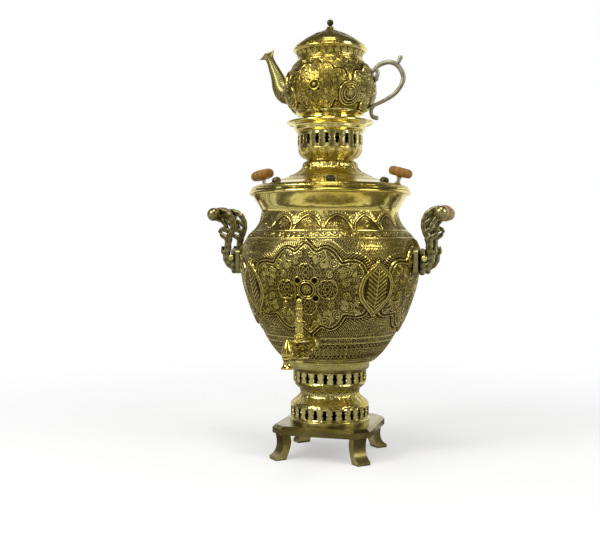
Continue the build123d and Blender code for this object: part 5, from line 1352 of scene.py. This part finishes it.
class Finish(Nodes):
    """A material: one Principled shader, its fixed values, and the nodes that feed it."""

    def __init__(self, name, **fixed):
        self.material = bpy.data.materials.new(name)
        self.material.use_nodes = True
        super().__init__(self.material.node_tree)
        self.shader = self.tree.nodes["Principled BSDF"]
        for label, value in fixed.items():
            self.shader.inputs[label.replace("_", " ")].default_value = value

    def feed(self, **wires):
        for label, wire in wires.items():
            self.put(self.shader.inputs[label.replace("_", " ")], wire)

    def surface(self, wire):
        """Show this in place of the Principled shader."""
        self.put(self.tree.nodes["Material Output"].inputs["Surface"], wire)

    def place(self):
        return self.node("ShaderNodeTexCoord", out="Object")

    def from_axis(self):
        """Distance from the axis of the samovar."""
        x, y, _ = self.axes(self.place())
        return (x * x + y * y).root()

    def attribute(self, label):
        return self.node("ShaderNodeAttribute", {"attribute_name": label}, out="Fac")

    def closed_in(self, reach):
        """How far each place is walled in, within a reach in metres."""
        return 1 - self.node("ShaderNodeAmbientOcclusion", {"samples": 8}, {"Distance": reach}, out="AO")

    def axes(self, vector):
        """The three parts of a vector."""
        split = self.node("ShaderNodeSeparateXYZ", sockets={0: vector})
        return [Wire(self, split.socket.node.outputs[n]) for n in range(3)]

    def noise(self, scale, detail=3.0, vector=None, roughness=0.5):
        sockets = {"Vector": vector or self.place(), "Scale": scale, "Detail": detail, "Roughness": roughness}
        return self.node("ShaderNodeTexNoise", {}, sockets)

    def stretched(self, x, y, z):
        """Object coordinates, stretched."""
        return self.node("ShaderNodeMapping", {}, {"Vector": self.place(), "Scale": (x, y, z)})

    def blend(self, amount, first, second):
        return self.node("ShaderNodeMix", {"data_type": "RGBA"}, {0: amount, 6: first, 7: second}, out=2)

    def bump(self, height, distance, strength=1.0, under=None):
        sockets = {"Height": height, "Distance": distance, "Strength": strength}
        if under:
            sockets["Normal"] = under
        return self.node("ShaderNodeBump", {}, sockets)


def rgb(r, g, b):
    """A colour written 0 to 255 as on a screen, in the linear numbers that a shader wants."""
    linear = [((c / 255 + 0.055) / 1.055) ** 2.4 if c > 10 else c / 255 / 12.92 for c in (r, g, b)]
    return (*linear, 1.0)


# %% Finishes of brass
bright_brass = rgb(240, 226, 144)
warm_brass = rgb(218, 194, 88)
# Dark brown and black serve both for patina and for painted shade.
brown_patina_and_shade = rgb(92, 76, 28)
black_patina_and_shade = rgb(30, 22, 8)


def brass_tone(finish, bright, warm, scale=9.0):
    """Polished brass is a little warmer here and there, where it was heated or handled."""
    return finish.blend(finish.noise(scale).rising(0.35, 0.7), bright, warm)


def chased_brass(name, rows, strokes, patina_and_shade_amount=1.0):
    """Embossed sheet: rows is the height of a hatched row in metres, strokes how many go round."""
    finish = Finish(name, Metallic=1.0)
    dark, hatch, polish = (finish.attribute(label) for label in ("dark", "hatch", "polish"))
    round_axis, along, _ = finish.axes(finish.node("ShaderNodeUVMap", {"uv_map": "chasing"}))
    slant = along.zigzag(rows) / rows
    stroke = ((round_axis * strokes + slant * 1.2).rest() - 0.5).size() * 2
    row_line = ((along / rows).rest() - 0.5).size() * 2
    groove = stroke.rising(0.5, 0.8).most(0.3 * row_line.rising(0.72, 0.98)) * hatch
    mottle = finish.noise(420.0, 2.0).rising(0.25, 0.75, 0.75, 1.2)
    speck = finish.noise(520.0, 2.5).rising(0.5, 0.62) * hatch
    # Patina and painted shade: the dies' dark, which holds painted shadow beside raised edges, with the dark
    # hatching and specks; polish keeps raised tops bright.
    patina_and_shade = (patina_and_shade_amount * (dark * mottle * (1 - 0.75 * polish) + 0.75 * groove + 0.35 * speck)).clamped()
    metal = brass_tone(finish, bright_brass, warm_brass)
    browned = finish.blend(patina_and_shade.rising(0.0, 0.65), metal, brown_patina_and_shade)
    dents = finish.bump(finish.noise(300.0, 2.0), 0.5 * mm, 0.8)
    finish.feed(
        Base_Color=finish.blend(patina_and_shade.rising(0.55, 1.0), browned, black_patina_and_shade),
        Roughness=patina_and_shade.rising(0.0, 0.9, 0.14, 0.45) + 0.06 * finish.noise(60.0) + 0.06 * hatch,
        Normal=finish.bump(0.0 - groove, 0.8 * mm, 1.0, under=dents),
    )
    return finish.material


def spun_brass(name, bright=bright_brass, warm=warm_brass, rough=0.12, cavity=3 * mm, hammered=0.5):
    """Sheet spun on a lathe: faint rings round the axis, hammer marks, and patina with painted shade in the
    corners.
    """
    finish = Finish(name, Metallic=1.0)
    rings = finish.noise(1.0, 2.0, finish.stretched(6, 6, 900))
    smear = finish.noise(14.0, 4.0)
    # Patina and painted shade: darker where the surface is walled in, as Ambient Occlusion measures it.
    patina_and_shade = (finish.closed_in(cavity).rising(0.12, 0.75) * 0.85 * smear.rising(0.2, 0.7, 0.6, 1.0)).clamped()
    dents = finish.bump(finish.noise(75.0, 1.5), 0.5 * mm, hammered)
    metal = brass_tone(finish, bright, warm)
    finish.feed(
        Base_Color=finish.blend(patina_and_shade, metal, brown_patina_and_shade),
        Roughness=rough + 0.10 * smear.rising(0.45, 0.8) + 0.3 * patina_and_shade,
        Normal=finish.bump(rings, 0.02 * mm, 0.35, under=dents),
    )
    return finish.material


def cast_brass(name, bright=bright_brass, warm=warm_brass, rough=0.2, cavity=2.5 * mm, grain=0.12 * mm):
    """Cast and filed brass: lumpy where the file didn't reach, black with patina and painted shade in
    recesses, and where dark says so.
    """
    finish = Finish(name, Metallic=1.0)
    lumps = finish.noise(520.0, 4.0)
    blotch = finish.noise(55.0, 5.0)
    # Patina and painted shade: darker where the surface is walled in, as Ambient Occlusion measures it.
    recess, struck = finish.closed_in(cavity).rising(0.08, 0.55), finish.attribute("dark")
    patina_and_shade = (recess + 0.5 * blotch.rising(0.55, 0.8) + 0.85 * struck).clamped()
    metal = brass_tone(finish, bright, warm, 30.0)
    finish.feed(
        Base_Color=finish.blend(patina_and_shade, metal, black_patina_and_shade),
        Roughness=rough + 0.12 * blotch + 0.25 * patina_and_shade,
        Normal=finish.bump(lumps, grain, 0.6),
    )
    return finish.material


sheet_brass = spun_brass("brass_spun")
casting_brass = cast_brass("brass_cast")
turned_brass = spun_brass("brass_turned", rough=0.14, cavity=1.5 * mm, hammered=0.1)
soft_brass = spun_brass("brass_flare", rough=0.17, cavity=4 * mm, hammered=0.8)
panel_tone = rgb(226, 214, 142), rgb(190, 172, 90)
light_tone = rgb(206, 196, 126), rgb(170, 150, 78)
dull_tone = rgb(158, 146, 92), rgb(124, 108, 58)
olive_tone = rgb(176, 168, 116), rgb(146, 134, 82)
beak_tone = rgb(196, 186, 118), rgb(160, 146, 82)
pale_tone = rgb(206, 202, 172), rgb(178, 170, 132)
panel_brass = spun_brass("brass_panel", *panel_tone, rough=0.17, cavity=2 * mm, hammered=1.0)
plate_brass = cast_brass("brass_plate", *dull_tone, rough=0.3, cavity=4 * mm, grain=0.4 * mm)
olive_brass = cast_brass("brass_olive", *olive_tone, rough=0.26, cavity=7 * mm, grain=0.2 * mm)
beak_brass = cast_brass("brass_beak", *beak_tone, rough=0.24, cavity=2 * mm)
pale_brass = cast_brass("brass_pale", *pale_tone, rough=0.24, cavity=1.5 * mm, grain=0.25 * mm)
dressed = [
    (urn_skin, chased_brass("brass_chased", 4.8 * mm, 220), "brass_sheet"),
    (pot_skin, chased_brass("brass_chased_fine", 3.4 * mm, 130, 0.85), "brass_sheet"),
    (chased_skins, chased_brass("brass_chased_small", 3.0 * mm, 100, 0.7), "brass_sheet"),
    ([flare_skin], soft_brass, "brass_sheet"),
    (handle_arms, olive_brass, "brass_casting"),
    ([strap], pale_brass, "brass_casting"),
    ([beak], beak_brass, "brass_sheet"),
    ([dish_skin], soft_brass, "brass_sheet"),
    (stem_skins, pale_brass, "brass_casting"),
]
for pieces, material, slot in dressed:
    for piece in pieces:
        piece.data.materials.append(material)
galleries = [
    # name, radius, lowest and highest edge, slots, body
    ("crown_panels", crown_r, cup_top_z, crown_dish_z, 20, "crown"),
    ("upper_panels", waist_top_r, waist_top_z, 0.1210, 24, "urn"),
    ("lower_panels", waist_low_r, 0.0540, waist_low_z, 26, "urn"),
]
for name, radius, low, high, slots, body in galleries:
    panel = panel_template(f"{name}_one", radius, low, high, (low + high) / 2, slots)
    ring = ring_of_copies(name, panel, slots, pi / slots - pi / 2, panel_brass)
    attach(ring, body)
    print(name, slots, "copies,", len(ring.data.polygons), "faces")

# %% [markdown]
# ## Black inside, bright outside
# Hot smoke passes through the galleries, so they are black with soot inside and polished outside;
# the black also paints the shade that fills them behind the slots. A solid has one material, so
# the distance from the axis decides which of the two shows.

# %% A gallery that is black inside
def soot_and_shade_inside(name, inner_r, bright, warm):
    """Hammered brass outside the given radius, and soot black with painted shade nearer the axis than that.
    """
    finish = Finish(f"brass_{name}", Metallic=1.0)
    # Painted shade with soot: near-black inside the given radius.
    outside = finish.from_axis().rising(inner_r - 0.4 * mm, inner_r)
    smear = finish.noise(14.0, 4.0)
    finish.feed(
        Base_Color=finish.blend(outside, rgb(12, 9, 5), brass_tone(finish, bright, warm, 22.0)),
        Roughness=0.6 - 0.42 * outside + 0.1 * smear,
        Normal=finish.bump(finish.noise(75.0, 1.5), 0.5 * mm, 0.8),
    )
    return finish.material


# %% [markdown]
# ## Wood, iron, rubber and steel
# The grips and knobs are turned from lacquered wood. Noise stretched along one axis makes the
# grain, and finer noise the pores. The grate is rough iron, the gasket rubber and the screws
# steel. Little of these shows, so one colour with a fine grain is enough for each.

# %% Wood, iron, rubber and steel
wood_light, wood_dark = rgb(160, 114, 38), rgb(98, 62, 14)


def turned_wood(name, along):
    """Lacquered wood whose grain runs along one axis: 0 for x, 1 for y, 2 for z."""
    finish = Finish(name, Coat_Weight=0.15, Coat_Roughness=0.3, Specular_IOR_Level=0.3)
    stretch = [60.0, 60.0, 60.0]
    stretch[along] = 7.0
    grain = finish.noise(4.0, 6.0, finish.stretched(*stretch), 0.62)
    pores = finish.noise(30.0, 3.0, finish.stretched(*stretch))
    tone = (grain.rising(0.3, 0.7) * 0.8 + 0.25 * pores.rising(0.5, 0.8)).clamped()
    finish.feed(
        Base_Color=finish.blend(tone, wood_light, wood_dark),
        Roughness=0.45 + 0.2 * pores,
        Normal=finish.bump(pores, 0.08 * mm, 0.4),
    )
    return finish.material


def plain_finish(name, colour, lighter, rough, metallic, scale, depth):
    """One colour that a fine grain makes lighter here and there."""
    finish = Finish(name, Metallic=metallic)
    grain = finish.noise(scale, 4.0)
    finish.feed(
        Base_Color=finish.blend(grain.rising(0.3, 0.7), colour, lighter),
        Roughness=rough + 0.15 * grain,
        Normal=finish.bump(grain, depth, 0.6),
    )
    return finish.material


grip_wood = turned_wood("wood_grip", 1)
knob_wood = turned_wood("wood_knob", 2)
grate_iron = plain_finish("iron_grate", rgb(38, 34, 30), rgb(70, 60, 50), 0.62, 0.6, 500.0, 0.2 * mm)
gasket_rubber = plain_finish("rubber_gasket", rgb(24, 24, 24), rgb(36, 35, 34), 0.7, 0.0, 300.0, 0.05 * mm)
dark_vent = plain_finish("brass_tarnished", rgb(58, 52, 34), rgb(104, 96, 66), 0.3, 1.0, 160.0, 0.05 * mm)
sooty = plain_finish("brass_sooty", rgb(22, 17, 10), rgb(46, 34, 16), 0.55, 0.8, 90.0, 0.1 * mm)
screw_steel = plain_finish("steel_screw", rgb(150, 150, 152), rgb(176, 176, 178), 0.3, 1.0, 400.0, 0.02 * mm)
print(len(bpy.data.materials), "materials so far, with the solids' own")

# %% [markdown]
# ## Dressing the solids
# Every solid arrives with a slot that is named after what it is made of. A finish goes in by that
# name first, and then the few solids that look different from the rest of their kind get theirs.

# %% Which finish each solid wears
wears = {
    "brass_sheet": sheet_brass, "brass_casting": casting_brass, "turned_wood": knob_wood,
    "iron": grate_iron, "gasket_rubber": gasket_rubber, "steel": screw_steel,
}
for name, node in nodes.items():
    for n, slot in enumerate(node.material_slots):
        slot.material = wears[slot.material.name.split(".")[0]]
for side in ("left", "right"):
    nodes[f"handle_grip_{side}"].material_slots[0].material = grip_wood
for name in ("tap_key", "tap_nozzle", "tap_spout", "tap_plug_nut", "tap_shank", "tap_nut"):
    nodes[name].material_slots[0].material = turned_brass
for name, inner_r, tones in (
    ("crown_gallery", 44.4, light_tone), ("pedestal_foot_gallery", 54.4, light_tone),
    ("pedestal_top_gallery", 50.7, light_tone), ("plinth_plate", 52.0, dull_tone),
):
    nodes[name].material_slots[0].material = soot_and_shade_inside(name, inner_r * mm, *tones)
nodes["feet"].material_slots[0].material = plate_brass
for name in ("handle_caps_left", "handle_caps_right", "handle_saddle_left", "handle_saddle_right"):
    nodes[name].material_slots[0].material = olive_brass
for name, finish in (("fire_tube", sooty), ("steam_vents", dark_vent), ("teapot_lid_finial", dark_vent)):
    nodes[name].material_slots[0].material = finish
print("finishes:", sorted({m.name for node in nodes.values() for m in node.data.materials}))

# %% [markdown]
# ## Studio
# Polished brass shows what stands round it. A white floor and a white surround alone would turn
# it flat, so dark screens stand round the samovar, out of the camera's sight, with gaps of white
# between them, and dark rings lie on the floor. All these are there for reflections only and take
# no light away.

# %% Floor and white surround
def floor_white():
    """A pale floor that turns plain white far from the object."""
    finish = Finish("floor_white", Roughness=0.6, Specular_IOR_Level=0.0, Base_Color=(0.86, 0.86, 0.85, 1.0))
    glow = finish.node("ShaderNodeEmission", {}, {"Color": (1.0, 1.0, 1.0, 1.0)})
    whiter = finish.from_axis().rising(0.25, 1.1, 0.45, 1.0)
    shaded = Wire(finish, finish.shader.outputs[0])
    finish.surface(finish.node("ShaderNodeMixShader", {}, {0: whiter, 1: shaded, 2: glow}))
    return finish.material


def flat_panel(name, middle, wide, high, facing, material):
    """A flat rectangle that faces the given point."""
    middle, facing = Vector(middle), Vector(facing)
    turn = (facing - middle).to_track_quat("Z", "Y").to_matrix().to_4x4()
    signs = (-1, -1), (1, -1), (1, 1), (-1, 1)
    corners = [turn @ Vector((x * wide / 2, y * high / 2, 0)) + middle for x, y in signs]
    mesh = bpy.data.meshes.new(name)
    mesh.from_pydata(corners, [], [(0, 1, 2, 3)])
    mesh.materials.append(material)
    panel = placed(name, mesh)
    return panel


flat_panel("floor", (0, 0, 0), 12, 12, (0, 0, 1), floor_white())
print("the floor is 12 m wide")

world = bpy.data.worlds.new("studio")
bpy.context.scene.world = world
world.use_nodes = True
sky = Nodes(world.node_tree)
camera_ray, glossy_ray, transmission_ray = (
    sky.node("ShaderNodeLightPath", out=f"Is {kind} Ray") for kind in ("Camera", "Glossy", "Transmission")
)
background = world.node_tree.nodes["Background"]
background.inputs["Color"].default_value = (1.0, 1.0, 1.0, 1.0)
# Full strength where the surround is seen or mirrored, and less where it only lights
sky.put(background.inputs["Strength"], 0.55 + 0.45 * (camera_ray + glossy_ray + transmission_ray).clamped())

# %% Dark screens and lamps
dim = Finish("screen_dark")
dim.surface(dim.node("ShaderNodeEmission", {}, {"Color": (0.10, 0.09, 0.07, 1.0)}))


def round_about(azimuth, away, height):
    """A place at an azimuth in degrees, 0 at the front and growing to the right."""
    return away * sin(radians(azimuth)), -away * cos(radians(azimuth)), height


def only_reflected(screen):
    """Hide a screen from all but the rays that mirror it."""
    for ray in ("camera", "diffuse", "shadow", "transmission"):
        setattr(screen, f"visible_{ray}", False)


screen_low, screen_high, screen_away = -0.5, 2.4, 2.2
screen_middle = (screen_low + screen_high) / 2
# azimuth and width of each screen
for n, (azimuth, wide) in enumerate([(-92, 2.2), (-48, 0.75), (-21, 1.1), (18, 1.05), (56, 1.7), (104, 1.6)]):
    middle = round_about(azimuth, screen_away, screen_middle)
    high = screen_high - screen_low
    only_reflected(flat_panel(f"screen_{n}", middle, wide, high, (0, 0, screen_middle), dim.material))
only_reflected(flat_panel("screen_top", (0, 0, screen_high), 4.6, 4.6, (0, 0, 0), dim.material))


def dark_ring(name, in_r, out_r, height):
    """A flat dark ring on the floor that only reflections see."""
    sides = 64
    turn = np.linspace(0, 2 * pi, sides, endpoint=False)
    points = [(r * cos(a), r * sin(a), height) for r in (in_r, out_r) for a in turn]
    faces = [(n, (n + 1) % sides, sides + (n + 1) % sides, sides + n) for n in range(sides)]
    mesh = bpy.data.meshes.new(name)
    mesh.from_pydata(points, [], faces)
    mesh.materials.append(dim.material)
    ring = placed(name, mesh)
    only_reflected(ring)


ring_radii = (0.10, 0.21), (0.235, 0.33), (0.39, 0.56), (0.62, 0.72), (0.80, 0.90), (0.98, 1.20)
for n, (in_r, out_r) in enumerate(ring_radii):
    dark_ring(f"ring_{n}", in_r, out_r, 0.5 * mm)


def softbox(name, azimuth, height, away, size, watts):
    """A square lamp that faces the middle of the samovar."""
    lamp = bpy.data.lights.new(name, "AREA")
    lamp.shape, lamp.size, lamp.energy = "SQUARE", size, watts
    box = placed(name, lamp)
    box.location = round_about(azimuth, away, height)
    box.rotation_euler = (Vector((0, 0, 0.32)) - box.location).to_track_quat("-Z", "Y").to_euler()


softbox("key", -38, 1.5, 1.7, 0.7, 20)
softbox("fill", 70, 1.1, 1.8, 0.6, 11)
softbox("top", 10, 2.0, 0.6, 0.6, 11)
print(len(ring_radii), "dark rings and", len(bpy.data.lights), "lamps")

# %% [markdown]
# ## Camera
# A lens of about 56 mm, 1.33 m from the axis and level with the samovar's middle, keeps its sides
# upright and its proportions true.

# %% Camera
camera_azimuth, camera_away, camera_high = 14.5, 1.33, 0.307
camera = placed("camera", bpy.data.cameras.new("camera"))
camera.data.sensor_width, camera.data.lens = 36.0, 55.6
camera.location = round_about(camera_azimuth, camera_away, camera_high)
aim_left, aim_down = 1.85, 2.22
camera.rotation_euler = (radians(90 - aim_down), 0, radians(camera_azimuth + aim_left))
bpy.context.scene.camera = camera
bpy.context.scene.view_settings.view_transform = "Standard"
print("the camera is", camera_away, "m away,", camera_azimuth, "degrees round")
